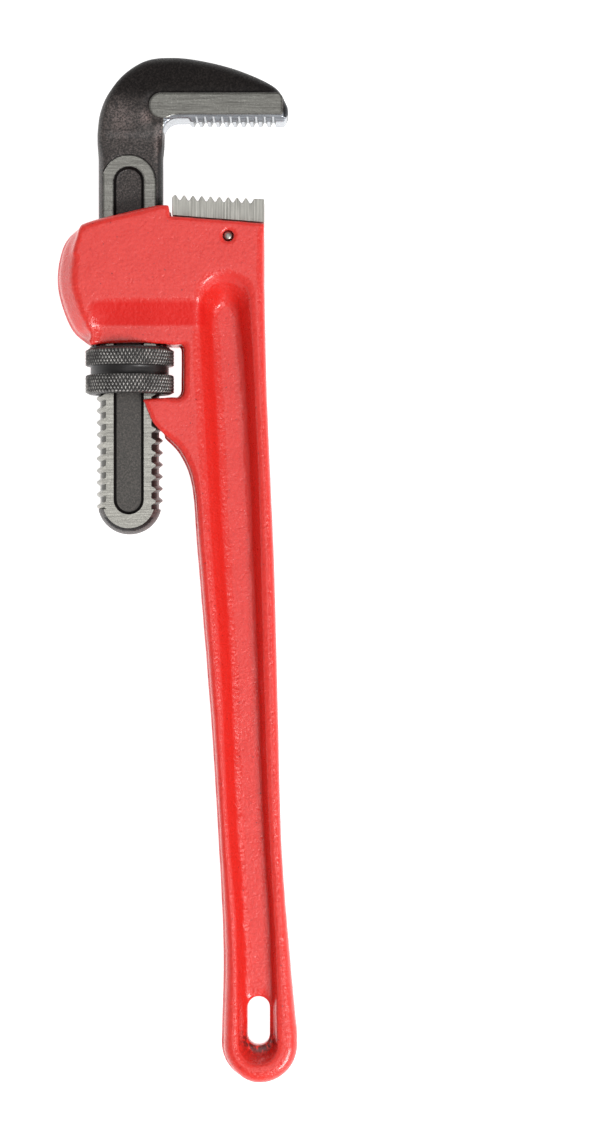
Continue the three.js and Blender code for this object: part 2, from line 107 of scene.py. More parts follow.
class Outline:
    """A closed line in the drawing's plane, made of straight, smooth and round stretches."""

    def __init__(self, start: Point) -> None:
        """Starts the line.

        Args:
            start: The first point.
        """
        self.points: list[Point] = [start]

    def to(self, *corners: Point) -> "Outline":
        """Adds straight stretches to the corners, and returns the outline."""
        self.points.extend(corners)
        return self

    def through(self, knots: list[Point], steps: int = 10) -> "Outline":
        """Adds a smooth stretch from the last point through the knots.

        Args:
            knots: The points to pass through.
            steps: Points laid between two knots.

        Returns:
            The outline, for the next stretch.
        """
        knots_all = [self.points[-1], *knots]
        self.points.extend(map(tuple, smooth_line(knots_all, steps)[1:]))
        return self

    def arc(self, centre: Point, radius: float, start: float, end: float) -> "Outline":
        """Adds a round stretch.

        Args:
            centre: The arc's centre.
            radius: Its radius.
            start: Its first angle in radians.
            end: Its last angle in radians.

        Returns:
            The outline, for the next stretch.
        """
        count = max(4, int(abs(end - start) / 0.12))
        for angle in np.linspace(start, end, count + 1):
            x = centre[0] + radius * math.cos(angle)
            self.points.append((x, centre[1] + radius * math.sin(angle)))
        return self

    def loop(self) -> np.ndarray:
        """Gives the line as an array of points, without repeats.

        Returns:
            An array of rows x, y.
        """
        points = np.array(self.points)
        gaps = np.linalg.norm(points - np.roll(points, 1, axis=0), axis=1)
        return points[gaps > 1e-6]


def smooth_line(knots: list[Point], steps: int) -> np.ndarray:
    """Lays a Catmull-Rom curve through knots.

    Args:
        knots: The points to pass through.
        steps: Points laid between two knots.

    Returns:
        An array of rows x, y, from the first knot to the last.
    """
    p = np.array(knots, float)
    padded = np.vstack([p[:1], p, p[-1:]])
    t = np.linspace(0, 1, steps, endpoint=False)[:, None]
    parts = []
    for a, b, c, d in zip(padded, padded[1:], padded[2:], padded[3:]):
        v0, v1 = (c - a) / 2, (d - b) / 2
        cubic = (2 * b - 2 * c + v0 + v1) * t**3
        parts.append(cubic + (-3 * b + 3 * c - 2 * v0 - v1) * t**2 + v0 * t + b)
    return np.vstack([*parts, p[-1:]])


def distance_to(loop: np.ndarray, x: np.ndarray, y: np.ndarray) -> np.ndarray:
    """Measures how far points lie from a closed line, negative inside it.

    Args:
        loop: The closed line, rows of x, y.
        x: The points' first coordinates.
        y: The points' second coordinates, of the same shape.

    Returns:
        The signed distances.
    """
    nearest = np.full(x.shape, 1e9)
    inside = np.zeros(x.shape, bool)
    for (ax, ay), (bx, by) in zip(loop, np.roll(loop, -1, axis=0)):
        ex, ey = bx - ax, by - ay
        px, py = x - ax, y - ay
        along = np.clip((px * ex + py * ey) / (ex * ex + ey * ey), 0, 1)
        nearest = np.minimum(nearest, (px - along * ex) ** 2 + (py - along * ey) ** 2)
        if ay != by:
            crosses = (ay > y) != (by > y)
            inside ^= crosses & (px < ex * py / ey)
    return np.where(inside, -1, 1) * np.sqrt(nearest)


def blend(low: float, high: float, value: np.ndarray) -> np.ndarray:
    """Rises smoothly from 0 at low to 1 at high.

    Args:
        low: Where the rise starts.
        high: Where it ends; it may be below low for a fall.
        value: Where to evaluate it.

    Returns:
        Numbers from 0 to 1.
    """
    t = np.clip((value - low) / (high - low), 0, 1)
    return t * t * (3 - 2 * t)


def both(a: np.ndarray, b: np.ndarray, radius: np.ndarray | float) -> np.ndarray:
    """Keeps what is inside both fields, and rounds the edge where they meet.

    Args:
        a: One distance field.
        b: The other.
        radius: The edge's radius.

    Returns:
        The field of what they share.
    """
    corner = np.hypot(np.maximum(a + radius, 0), np.maximum(b + radius, 0))
    return np.minimum(np.maximum(a, b), -radius) + corner


def either(a: np.ndarray, b: np.ndarray, radius: float) -> np.ndarray:
    """Joins two fields with a fillet of a given radius where they meet."""
    return -both(-a, -b, radius)


def full_turn(count: int) -> np.ndarray:
    """Gives evenly spaced angles once round, in radians."""
    return np.linspace(0, 2 * math.pi, count, endpoint=False)


def tube_faces(rings: int, sides: int) -> list[list[int]]:
    """Lists the faces of a tube that is closed at both ends.

    Args:
        rings: How many rings of vertices it has, one after the other.
        sides: How many vertices each ring has.

    Returns:
        The faces, as rows of vertex numbers.
    """
    faces = [[k * sides + i, k * sides + (i + 1) % sides, (k + 1) * sides + (i + 1) % sides,
              (k + 1) * sides + i] for k in range(rings - 1) for i in range(sides)]
    last = (rings - 1) * sides
    return faces + [list(range(sides))[::-1], list(range(last, last + sides))]


def bell(offset: np.ndarray, width: float) -> np.ndarray:
    """Falls smoothly from 1 where the offset is zero to nothing a few widths away."""
    return np.exp(-(offset / width) ** 2)


def spot(x: np.ndarray, y: np.ndarray, centre: Point, spread: Point) -> np.ndarray:
    """Falls smoothly from 1 at a centre, over a spread of its own in x and in y."""
    return np.exp(-((x - centre[0]) / spread[0]) ** 2 - ((y - centre[1]) / spread[1]) ** 2)


def over_thickness(fields: dict[str, np.ndarray]) -> dict[str, np.ndarray]:
    """Shapes fields drawn in plan so that they broadcast over the thickness."""
    return {key: value.astype(np.float32)[:, :, None] for key, value in fields.items()}


def block(x: np.ndarray, y: np.ndarray, z: np.ndarray, low: tuple, high: tuple) -> np.ndarray:
    """Measures how far points lie from a box.

    Args:
        x: First coordinates.
        y: Second coordinates.
        z: Third coordinates.
        low: The box's lowest corner.
        high: Its highest corner.

    Returns:
        The distances, negative inside.
    """
    sides = [np.maximum(lo - v, v - hi) for v, lo, hi in zip((x, y, z), low, high)]
    return np.maximum(np.maximum(sides[0], sides[1]), sides[2])


def rolling(x: np.ndarray, y: np.ndarray, wave: float, seed: int) -> np.ndarray:
    """Makes soft unevenness, as on a casting's skin.

    Args:
        x: First coordinates.
        y: Second coordinates.
        wave: The distance between two lumps.
        seed: The number that fixes the pattern.

    Returns:
        Numbers from -1 to 1.
    """
    u, v = (x - x.min()) / wave, (y - y.min()) / wave
    lattice = np.random.RandomState(seed).uniform(-1, 1, (int(u.max()) + 2, int(v.max()) + 2))
    i, j = u.astype(int), v.astype(int)
    s, t = blend(0, 1, u - i), blend(0, 1, v - j)
    low = lattice[i, j] * (1 - s) + lattice[i + 1, j] * s
    return low * (1 - t) + (lattice[i, j + 1] * (1 - s) + lattice[i + 1, j + 1] * s) * t


# ---- from fields and grids to meshes --------------------------------------------------------


@dataclass(frozen=True)
class Lattice:
    """The regular sample points on which a field is worked out."""

    low: tuple[float, float, float]
    high: tuple[float, float, float]
    pitch: float

    def axes(self) -> tuple[np.ndarray, np.ndarray, np.ndarray]:
        """Gives the three coordinate arrays, shaped so that they broadcast together.

        Returns:
            Arrays of shapes (nx, 1, 1), (1, ny, 1) and (1, 1, nz).
        """
        lines = [
            np.arange(lo, hi + self.pitch, self.pitch, dtype=np.float32)
            for lo, hi in zip(self.low, self.high)
        ]
        return lines[0][:, None, None], lines[1][None, :, None], lines[2][None, None, :]

    def plan(self) -> tuple[np.ndarray, np.ndarray]:
        """Gives the x and y of each column of sample points.

        Returns:
            Two arrays of shape (nx, ny).
        """
        x, y, _ = self.axes()
        px, py = np.broadcast_arrays(x[:, :, 0], y[:, :, 0])
        return px.astype(float), py.astype(float)

    def surface(self, values: np.ndarray) -> tuple[np.ndarray, np.ndarray]:
        """Lays quads over the zero level of a field by naive surface nets.

        Args:
            values: The field on the lattice, negative inside the solid.

        Returns:
            The vertices, in millimetres, and the quads.
        """
        inside = values < 0
        size = np.array(values.shape) - 1
        corners = [(i, j, k) for i in (0, 1) for j in (0, 1) for k in (0, 1)]
        count = sum(
            inside[i:i + size[0], j:j + size[1], k:k + size[2]].astype(np.int8)
            for i, j, k in corners
        )
        cells = np.argwhere((count > 0) & (count < 8))
        number = np.full(size, -1, np.int64)
        number[tuple(cells.T)] = np.arange(len(cells))
        total, hits = np.zeros((len(cells), 3)), np.zeros(len(cells))
        for a in corners:
            for axis in range(3):
                if a[axis]:
                    continue
                b = tuple(v + (n == axis) for n, v in enumerate(a))
                fa = values[tuple((cells + a).T)].astype(float)
                fb = values[tuple((cells + b).T)].astype(float)
                crossed = (fa < 0) != (fb < 0)
                share = fa[crossed] / (fa[crossed] - fb[crossed])
                at = np.tile(np.array(a, float), (crossed.sum(), 1))
                at[:, axis] += share
                total[crossed] += at
                hits[crossed] += 1
        vertices = np.array(self.low) + (cells + total / hits[:, None]) * self.pitch
        return vertices, self._quads(inside, number)

    @staticmethod
    def _quads(inside: np.ndarray, number: np.ndarray) -> np.ndarray:
        """Joins the four cells round each lattice edge that the surface crosses.

        Args:
            inside: Which lattice points are inside the solid.
            number: The vertex number of each cell, or -1.

        Returns:
            The quads, facing out.
        """
        faces = []
        for axis in range(3):
            u, v = (axis + 1) % 3, (axis + 2) % 3
            along = np.swapaxes(inside, 0, axis)
            changed = np.swapaxes(along[:-1] != along[1:], 0, axis)
            edges = np.argwhere(changed)
            edges = edges[(edges[:, u] > 0) & (edges[:, v] > 0)]
            ring = []
            for du, dv in ((0, 0), (1, 0), (1, 1), (0, 1)):
                cell = edges.copy()
                cell[:, u] -= du
                cell[:, v] -= dv
                ring.append(number[tuple(cell.T)])
            quads = np.stack(ring, axis=1)
            starts_inside = inside[tuple(edges.T)]
            quads[~starts_inside] = quads[~starts_inside][:, ::-1]
            faces.append(quads)
        return np.vstack(faces)


def mesh_object(name: str, vertices: np.ndarray, faces: list | np.ndarray) -> bpy.types.Object:
    """Makes a smooth-shaded object from drawing points.

    Args:
        name: The piece's name.
        vertices: Rows of x, y, z in millimetres.
        faces: Rows of vertex numbers.

    Returns:
        The new object, in the scene.
    """
    mesh = bpy.data.meshes.new(name)
    mesh.from_pydata(DRAWING.metres(vertices), [], np.asarray(faces).tolist()
                     if isinstance(faces, np.ndarray) else faces)
    mesh.validate()
    mesh.shade_smooth()
    piece = bpy.data.objects.new(name, mesh)
    bpy.context.scene.collection.objects.link(piece)
    return piece


def bake_modifiers(piece: bpy.types.Object) -> None:
    """Replaces a piece's mesh by what its modifiers make of it.

    Args:
        piece: The object to settle.
    """
    graph = bpy.context.evaluated_depsgraph_get()
    made = bpy.data.meshes.new_from_object(piece.evaluated_get(graph))
    piece.modifiers.clear()
    piece.data = made


def cut(piece: bpy.types.Object, tool: bpy.types.Object, how: str = "DIFFERENCE") -> None:
    """Cuts a piece with a tool, or joins the two, and removes the tool.

    Args:
        piece: The object that stays.
        tool: The object that cuts.
        how: The kind of boolean.
    """
    step = piece.modifiers.new("cut", "BOOLEAN")
    step.operation, step.object, step.solver = how, tool, "EXACT"
    bpy.context.view_layer.update()
    bake_modifiers(piece)
    bpy.data.objects.remove(tool)


def bevel(piece: bpy.types.Object, width: float, segments: int = 2, angle: float = 30) -> None:
    """Breaks a piece's sharp edges.

    Args:
        piece: The object.
        width: The bevel's width in millimetres.
        segments: How many faces round each edge.
        angle: Edges sharper than this, in degrees, are broken.
    """
    step = piece.modifiers.new("edge", "BEVEL")
    step.width, step.segments = width * MM, segments
    step.limit_method, step.angle_limit = "ANGLE", math.radians(angle)
    step.harden_normals = True
    bpy.context.view_layer.update()
    bake_modifiers(piece)


def prism(name: str, loop: np.ndarray, half: float) -> bpy.types.Object:
    """Makes a straight prism of an outline, centred on the drawing's middle plane.

    Args:
        name: The piece's name.
        loop: The outline, rows of x, y.
        half: Half its thickness.

    Returns:
        The new object.
    """
    count = len(loop)
    low = np.column_stack([loop, np.full(count, -half)])
    high = np.column_stack([loop, np.full(count, half)])
    return closed_object(name, np.vstack([low, high]), tube_faces(2, count))


def closed_object(name: str, vertices: np.ndarray, faces: list) -> bpy.types.Object:
    """Makes an object from drawing points and turns its faces out.

    Args:
        name: The piece's name.
        vertices: Rows of x, y, z in millimetres.
        faces: Rows of vertex numbers.

    Returns:
        The new object.
    """
    piece = mesh_object(name, vertices, faces)
    work = bmesh.new()
    work.from_mesh(piece.data)
    bmesh.ops.recalc_face_normals(work, faces=work.faces)
    work.to_mesh(piece.data)
    work.free()
    return piece


def revolve(name: str, radii: np.ndarray, heights: np.ndarray) -> bpy.types.Object:
    """Makes a closed ring about the shank's axis from a grid of radii.

    Args:
        name: The piece's name.
        radii: Row by column radii, a column for each angle; the last row joins the first.
        heights: Row by column places along the axis.

    Returns:
        The new object.
    """
    rows, columns = radii.shape
    angle = full_turn(columns)
    x, z = radii * np.cos(angle), -radii * np.sin(angle)
    vertices = np.stack([x, heights, z], axis=2).reshape(-1, 3)
    r, c = np.meshgrid(np.arange(rows), np.arange(columns), indexing="ij")
    up, on = (r + 1) % rows, (c + 1) % columns
    quads = np.stack([r * columns + c, r * columns + on, up * columns + on, up * columns + c], 2)
    return closed_object(name, vertices, quads.reshape(-1, 4).tolist())


def paint_mask(piece: bpy.types.Object, name: str, values: np.ndarray,
               on: str = "POINT") -> None:
    """Stores a number on each vertex or face, for a finish to read."""
    layer = piece.data.attributes.new(name, "FLOAT", on)
    layer.data.foreach_set("value", np.asarray(values, np.float32))


def face_centres(piece: bpy.types.Object) -> tuple[np.ndarray, np.ndarray]:
    """Reads a piece's face centres in millimetres, and its face normals.

    Args:
        piece: The object.

    Returns:
        Rows of x, y, z in the drawing frame, and rows of normals.
    """
    count = len(piece.data.polygons)
    centres, normals = np.empty(count * 3), np.empty(count * 3)
    piece.data.polygons.foreach_get("center", centres)
    piece.data.polygons.foreach_get("normal", normals)
    return (centres.reshape(-1, 3) - DRAWING.origin()) / MM, normals.reshape(-1, 3)


def crisp(piece: bpy.types.Object, angle: float = 28) -> None:
    """Keeps edges sharper than an angle, in degrees, sharp in the shading."""
    piece.data.set_sharp_from_angle(angle=math.radians(angle))


def drawing_points(piece: bpy.types.Object) -> np.ndarray:
    """Reads a piece's vertices back in millimetres.

    Args:
        piece: The object.

    Returns:
        Rows of x, y, z in the drawing frame.
    """
    flat = np.empty(len(piece.data.vertices) * 3)
    piece.data.vertices.foreach_get("co", flat)
    return (flat.reshape(-1, 3) - DRAWING.origin()) / MM


# ---- finishes -----------------------------------------------------------------------------


class NodeBench:
    """A short way to lay shader nodes for one material."""

    def __init__(self, name: str) -> None:
        """Makes an empty material with a principled shader.

        Args:
            name: The material's name.
        """
        self.material = bpy.data.materials.new(name)
        self.material.use_nodes = True
        self.nodes = self.material.node_tree.nodes
        self.links = self.material.node_tree.links
        self.shader = self.nodes["Principled BSDF"]
        self.place = self.nodes.new("ShaderNodeTexCoord").outputs["Object"]

    def fix(self, **values: float | Colour) -> None:
        """Sets plain values on the shader.

        Args:
            values: Socket names, with underscores for spaces, and their values.
        """
        for key, value in values.items():
            socket = self.shader.inputs[key.replace("_", " ")]
            socket.default_value = (*value, 1) if isinstance(value, tuple) else value

    def join(self, output: bpy.types.NodeSocket, key: str) -> None:
        """Joins an output to a socket of the shader."""
        self.links.new(output, self.shader.inputs[key])

    def stretched(self, scale: tuple[float, float, float]) -> bpy.types.NodeSocket:
        """Gives object coordinates stretched along the axes.

        Args:
            scale: The factor for each axis.

        Returns:
            The coordinates.
        """
        node = self.nodes.new("ShaderNodeMapping")
        self.links.new(self.place, node.inputs["Vector"])
        node.inputs["Scale"].default_value = scale
        return node.outputs["Vector"]

    def noise(self, grain_mm: float, detail: float = 3, rough: float = 0.55,
              vector: bpy.types.NodeSocket | None = None) -> bpy.types.NodeSocket:
        """Lays a noise.

        Args:
            grain_mm: The size of its lumps in millimetres.
            detail: How many finer layers it has.
            rough: How strong the finer layers are.
            vector: Coordinates to use instead of the object's.

        Returns:
            The noise, about 0.5 on average.
        """
        node = self.nodes.new("ShaderNodeTexNoise")
        self.links.new(vector or self.place, node.inputs["Vector"])
        node.inputs["Scale"].default_value = 1 / (grain_mm * MM)
        node.inputs["Detail"].default_value = detail
        node.inputs["Roughness"].default_value = rough
        return node.outputs["Fac"]

    def ramp(self, value: bpy.types.NodeSocket, low: float, high: float,
             first: float = 0, last: float = 1) -> bpy.types.NodeSocket:
        """Stretches a value from one range to another, and clamps it.

        Args:
            value: The value.
            low: What becomes first.
            high: What becomes last.
            first: The new start.
            last: The new end.

        Returns:
            The stretched value.
        """
        node = self.nodes.new("ShaderNodeMapRange")
        self.links.new(value, node.inputs["Value"])
        for key, number in zip(MAP_RANGE_ENDS, (low, high, first, last)):
            node.inputs[key].default_value = number
        return node.outputs["Result"]

    def mask(self, name: str) -> bpy.types.NodeSocket:
        """Reads a mask painted on the piece."""
        node = self.nodes.new("ShaderNodeAttribute")
        node.attribute_name = name
        return node.outputs["Fac"]

    def sum(self, a: bpy.types.NodeSocket, b: bpy.types.NodeSocket | float,
            how: str = "ADD") -> bpy.types.NodeSocket:
        """Works out a sum of two values.

        Args:
            a: The first value.
            b: The second value, a socket or a number.
            how: The kind of sum.

        Returns:
            The result.
        """
        node = self.nodes.new("ShaderNodeMath")
        node.operation = how
        self.links.new(a, node.inputs[0])
        if isinstance(b, (int, float)):
            node.inputs[1].default_value = b
        else:
            self.links.new(b, node.inputs[1])
        return node.outputs["Value"]

    def mix(self, share: bpy.types.NodeSocket, a: Colour | bpy.types.NodeSocket,
            b: Colour | bpy.types.NodeSocket) -> bpy.types.NodeSocket:
        """Mixes two colours.

        Args:
            share: How much of the second, from 0 to 1.
            a: The first colour.
            b: The second colour.

        Returns:
            The mixed colour.
        """
        node = self.nodes.new("ShaderNodeMix")
        node.data_type = "RGBA"
        self.links.new(share, node.inputs["Factor"])
        for key, colour in (("A", a), ("B", b)):
            socket = [s for s in node.inputs if s.name == key and s.type == "RGBA"][0]
            if isinstance(colour, tuple):
                socket.default_value = (*colour, 1)
            else:
                self.links.new(colour, socket)
        return [s for s in node.outputs if s.type == "RGBA"][0]

    def bump(self, height: bpy.types.NodeSocket, depth_mm: float,
             under: bpy.types.NodeSocket | None = None) -> bpy.types.NodeSocket:
        """Turns a height into a tilted normal.

        Args:
            height: The height, from 0 to 1.
            depth_mm: How deep the height is.
            under: A normal that this one goes over.

        Returns:
            The normal.
        """
        node = self.nodes.new("ShaderNodeBump")
        node.inputs["Distance"].default_value = depth_mm * MM
        node.inputs["Strength"].default_value = 1
        self.links.new(height, node.inputs["Height"])
        if under is not None:
            self.links.new(under, node.inputs["Normal"])
        return node.outputs["Normal"]


@dataclass(frozen=True)
class RedEnamel:
    """Thick glossy red paint over a sand-cast skin."""

    bright: Colour = (0.81, 0.032, 0.021)
    # deep is the darker paint of the random mottling, and also the colour of painted shade.
    deep: Colour = (0.70, 0.014, 0.010)
    # grime is the near black of random specks, and also of the painted shade with dirt below the
    # hang hole.
    grime_and_shade: Colour = (0.10, 0.008, 0.008)
    peel_mm: float = 1.3
    cast_mm: float = 4.5
    pit_mm: float = 2.4

    def make(self) -> bpy.types.Material:
        """Makes the finish.

        Returns:
            The material; it reads two masks: painted shade in the cove, on the recess walls and in
            the hollows, and painted shade with dirt below the hang hole.
        """
        bench = NodeBench("red_enamel")
        cloud = bench.ramp(bench.noise(self.cast_mm * 2), 0.35, 0.7, 0, 0.35)
        mottle = bench.ramp(bench.noise(1.4, 3, 0.7), 0.40, 0.66, 0, 0.75)
        # The mask of painted shade turns the paint to the deep colour in the cove, on the recess
        # walls and in the hollows.
        share = bench.sum(bench.sum(cloud, mottle, "MAXIMUM"), bench.mask("painted_shade"), "MAXIMUM")
        paint = bench.mix(share, self.bright, self.deep)
        speck = bench.ramp(bench.noise(1.4, 1), 0.772, 0.79, 0, 0.7)
        patches = bench.ramp(bench.noise(1.8, 3), 0.42, 0.56)
        # Painted shade with dirt: the near-black colour over noise patches, where the mask below
        # the hang hole says.
        dirt_and_shade_share = bench.sum(bench.mask("dirt_and_shade"), patches, "MULTIPLY")
        bench.join(bench.mix(bench.sum(speck, dirt_and_shade_share, "MAXIMUM"), paint, self.grime_and_shade), "Base Color")
        bench.fix(Coat_Roughness=0.08)
        # The same painted-shade mask also dulls the paint's gloss there.
        bench.join(bench.ramp(bench.mask("painted_shade"), 0.5, 0.95, 0.5, 0.22), "Specular IOR Level")
        bench.join(bench.ramp(bench.mask("painted_shade"), 0.5, 0.95, 0.45, 0.04), "Coat Weight")
        sheen = bench.ramp(bench.noise(self.peel_mm * 2), 0.3, 0.7, 0.26, 0.40)
        dull = bench.ramp(bench.mask("painted_shade"), 0.5, 0.95, 0, 0.16)
        bench.join(bench.sum(sheen, dull), "Roughness")
        lumps = bench.bump(bench.noise(self.cast_mm, 2), 0.22)
        pits = bench.ramp(bench.noise(self.pit_mm, 1), 0.60, 0.75, 1, 0)
        pitted = bench.bump(pits, 0.10, lumps)
        bench.join(bench.bump(bench.noise(self.peel_mm, 3, 0.65), 0.34, pitted), "Normal")
        return bench.material


@dataclass(frozen=True)
class ForgedSteel:
    """Dark forging scale that turns to milled, ground or fresh-cut steel where its mask says, and
    near black where shadow is painted on.
    """

    scale: Colour = (0.020, 0.016, 0.015)
    speck: Colour = (0.130, 0.108, 0.098)
    milled: Colour = (0.235, 0.232, 0.212)
    bare: Colour = (0.46, 0.45, 0.41)
    fresh: Colour = (0.47, 0.50, 0.54)
    painted_shadow: Colour = (0.006, 0.005, 0.005)
    # The colour of rubbed wear, and of the painted highlight on the hook's shoulder.
    rubbed_and_lit: Colour = (0.34, 0.25, 0.23)
    grain_mm: float = 0.8

    def make(self) -> bpy.types.Material:
        """Makes the finish.

        Returns:
            The material; it reads three masks: one for ground steel, one for rubbed wear and
            painted highlight, and one for painted shadow.
        """
        bench = NodeBench("forged_steel")
        grains = bench.noise(self.grain_mm, 4, 0.75)
        scale = bench.mix(bench.ramp(grains, 0.46, 0.68), self.scale, self.speck)
        # Rubbed wear and painted highlight: a lighter reddish colour where its mask says.
        patchy = bench.sum(bench.mask("wear_and_highlight"), bench.ramp(grains, 0.42, 0.55), "MULTIPLY")
        worn = bench.mix(patchy, scale, self.rubbed_and_lit)
        ground = bench.mask("ground")
        milled = bench.mix(bench.ramp(ground, 0.05, 0.4), worn, self.milled)
        bare = bench.mix(bench.ramp(ground, 0.4, 0.7), milled, self.bare)
        steel = bench.mix(bench.ramp(ground, 0.7, 1.0), bare, self.fresh)
        streak = bench.noise(1.0, 4, 0.65, bench.stretched((0.10, 2.4, 1)))
        shade = bench.sum(bench.ramp(streak, 0.35, 0.65, 0, 0.5), bench.ramp(ground, 0.1, 0.4),
                          "MULTIPLY")
        lined = bench.mix(shade, steel, self.scale)
        # Painted shadow: near black where its mask says, with less specular reflection there.
        bench.join(bench.mix(bench.mask("painted_shadow"), lined, self.painted_shadow), "Base Color")
        bench.join(bench.ramp(ground, 0, 0.4, 0.0, 0.92), "Metallic")
        rough = bench.ramp(grains, 0.3, 0.7, 0.26, 0.46)
        bench.join(bench.sum(rough, bench.ramp(ground, 0, 1, 0, -0.08)), "Roughness")
        bench.join(bench.ramp(bench.mask("painted_shadow"), 0, 0.8, 0.5, 0.12), "Specular IOR Level")
        skin = bench.bump(bench.sum(grains, bench.ramp(ground, 0, 0.4, 1, 0.12), "MULTIPLY"), 0.22)
        lines = bench.sum(streak, bench.ramp(ground, 0, 0.4), "MULTIPLY")
        bench.join(bench.bump(lines, 0.03, skin), "Normal")
        return bench.material


@dataclass(frozen=True)
class BlackOxide:
    """Blackened steel, worn bright on its raised points."""

    black: Colour = (0.026, 0.024, 0.024)
    worn: Colour = (0.58, 0.56, 0.53)

    def make(self) -> bpy.types.Material:
        """Makes the finish.

        Returns:
            The material; it reads the mask named crest.
        """
        bench = NodeBench("black_oxide")
        dust = bench.noise(0.8, 4, 0.7)
        patch = bench.ramp(bench.noise(5, 2), 0.3, 0.6, 0.25, 1)
        crest = bench.sum(bench.mask("crest"), bench.ramp(dust, 0.3, 0.55), "MULTIPLY")
        bench.join(bench.mix(bench.sum(crest, patch, "MULTIPLY"), self.black, self.worn),
                   "Base Color")
        bench.join(bench.ramp(crest, 0, 1, 0.35, 0.9), "Metallic")
        bench.join(bench.ramp(dust, 0.3, 0.7, 0.28, 0.5), "Roughness")
        bench.join(bench.bump(dust, 0.03), "Normal")
        return bench.material


@dataclass(frozen=True)
class GroundSteel:
    """Bare steel with the fine lines of a grinding wheel."""

    name: str = "ground_steel"
    light: Colour = (0.50, 0.49, 0.45)
    dark: Colour = (0.30, 0.295, 0.27)
    lines: tuple[float, float, float] = (1.5, 0.04, 0.5)
    roughness: tuple[float, float] = (0.30, 0.45)

    def make(self) -> bpy.types.Material:
        """Makes the finish.

        Returns:
            The material.
        """
        bench = NodeBench(self.name)
        streak = bench.noise(1.0, 4, 0.65, bench.stretched(self.lines))
        stain = bench.ramp(bench.noise(6), 0.45, 0.75, 0, 0.12)
        share = bench.sum(bench.ramp(streak, 0.35, 0.68), stain, "MAXIMUM")
        bench.join(bench.mix(share, self.light, self.dark), "Base Color")
        bench.fix(Metallic=0.95)
        bench.join(bench.ramp(streak, 0.3, 0.7, *self.roughness), "Roughness")
        bench.join(bench.bump(streak, 0.02), "Normal")
        return bench.material


class Finish(Enum):
    """The wrench's finishes, by the record's slot."""

    ENAMEL = "enamel"
    FORGED = "forged_steel"
    BLACK = "black_oxide_steel"
    GROUND = "ground_steel"
    SPRING = "spring_steel"


class PaintShop:
    """Makes each finish once and puts it on pieces."""

    def __init__(self) -> None:
        """Makes all the finishes."""
        self.made = {
            Finish.ENAMEL: RedEnamel().make(),
            Finish.FORGED: ForgedSteel().make(),
            Finish.BLACK: BlackOxide().make(),
            Finish.GROUND: GroundSteel().make(),
            Finish.SPRING: GroundSteel("spring_steel", (0.42, 0.42, 0.44), (0.24, 0.24, 0.26),
                                       (0.1, 1.2, 0.3), (0.25, 0.4)).make(),
        }

    def dress(self, piece: bpy.types.Object, finish: Finish) -> None:
        """Gives a piece its finish."""
        piece.data.materials.clear()
        piece.data.materials.append(self.made[finish])

    def fit(self, piece: bpy.types.Object, finish: Finish, body: str, *nodes: str) -> None:
        """Dresses a new piece, hangs it on its body and puts it in place of its nodes.

        Args:
            piece: The object.
            finish: Its finish.
            body: The body that it rides on.
            nodes: The nodes that it stands for.
        """
        self.dress(piece, finish)
        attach(piece, body)
        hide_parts(*nodes)
        LOG.info("%s: %d faces on %s", piece.name, len(piece.data.polygons), body)


# ---- handle -------------------------------------------------------------------------------


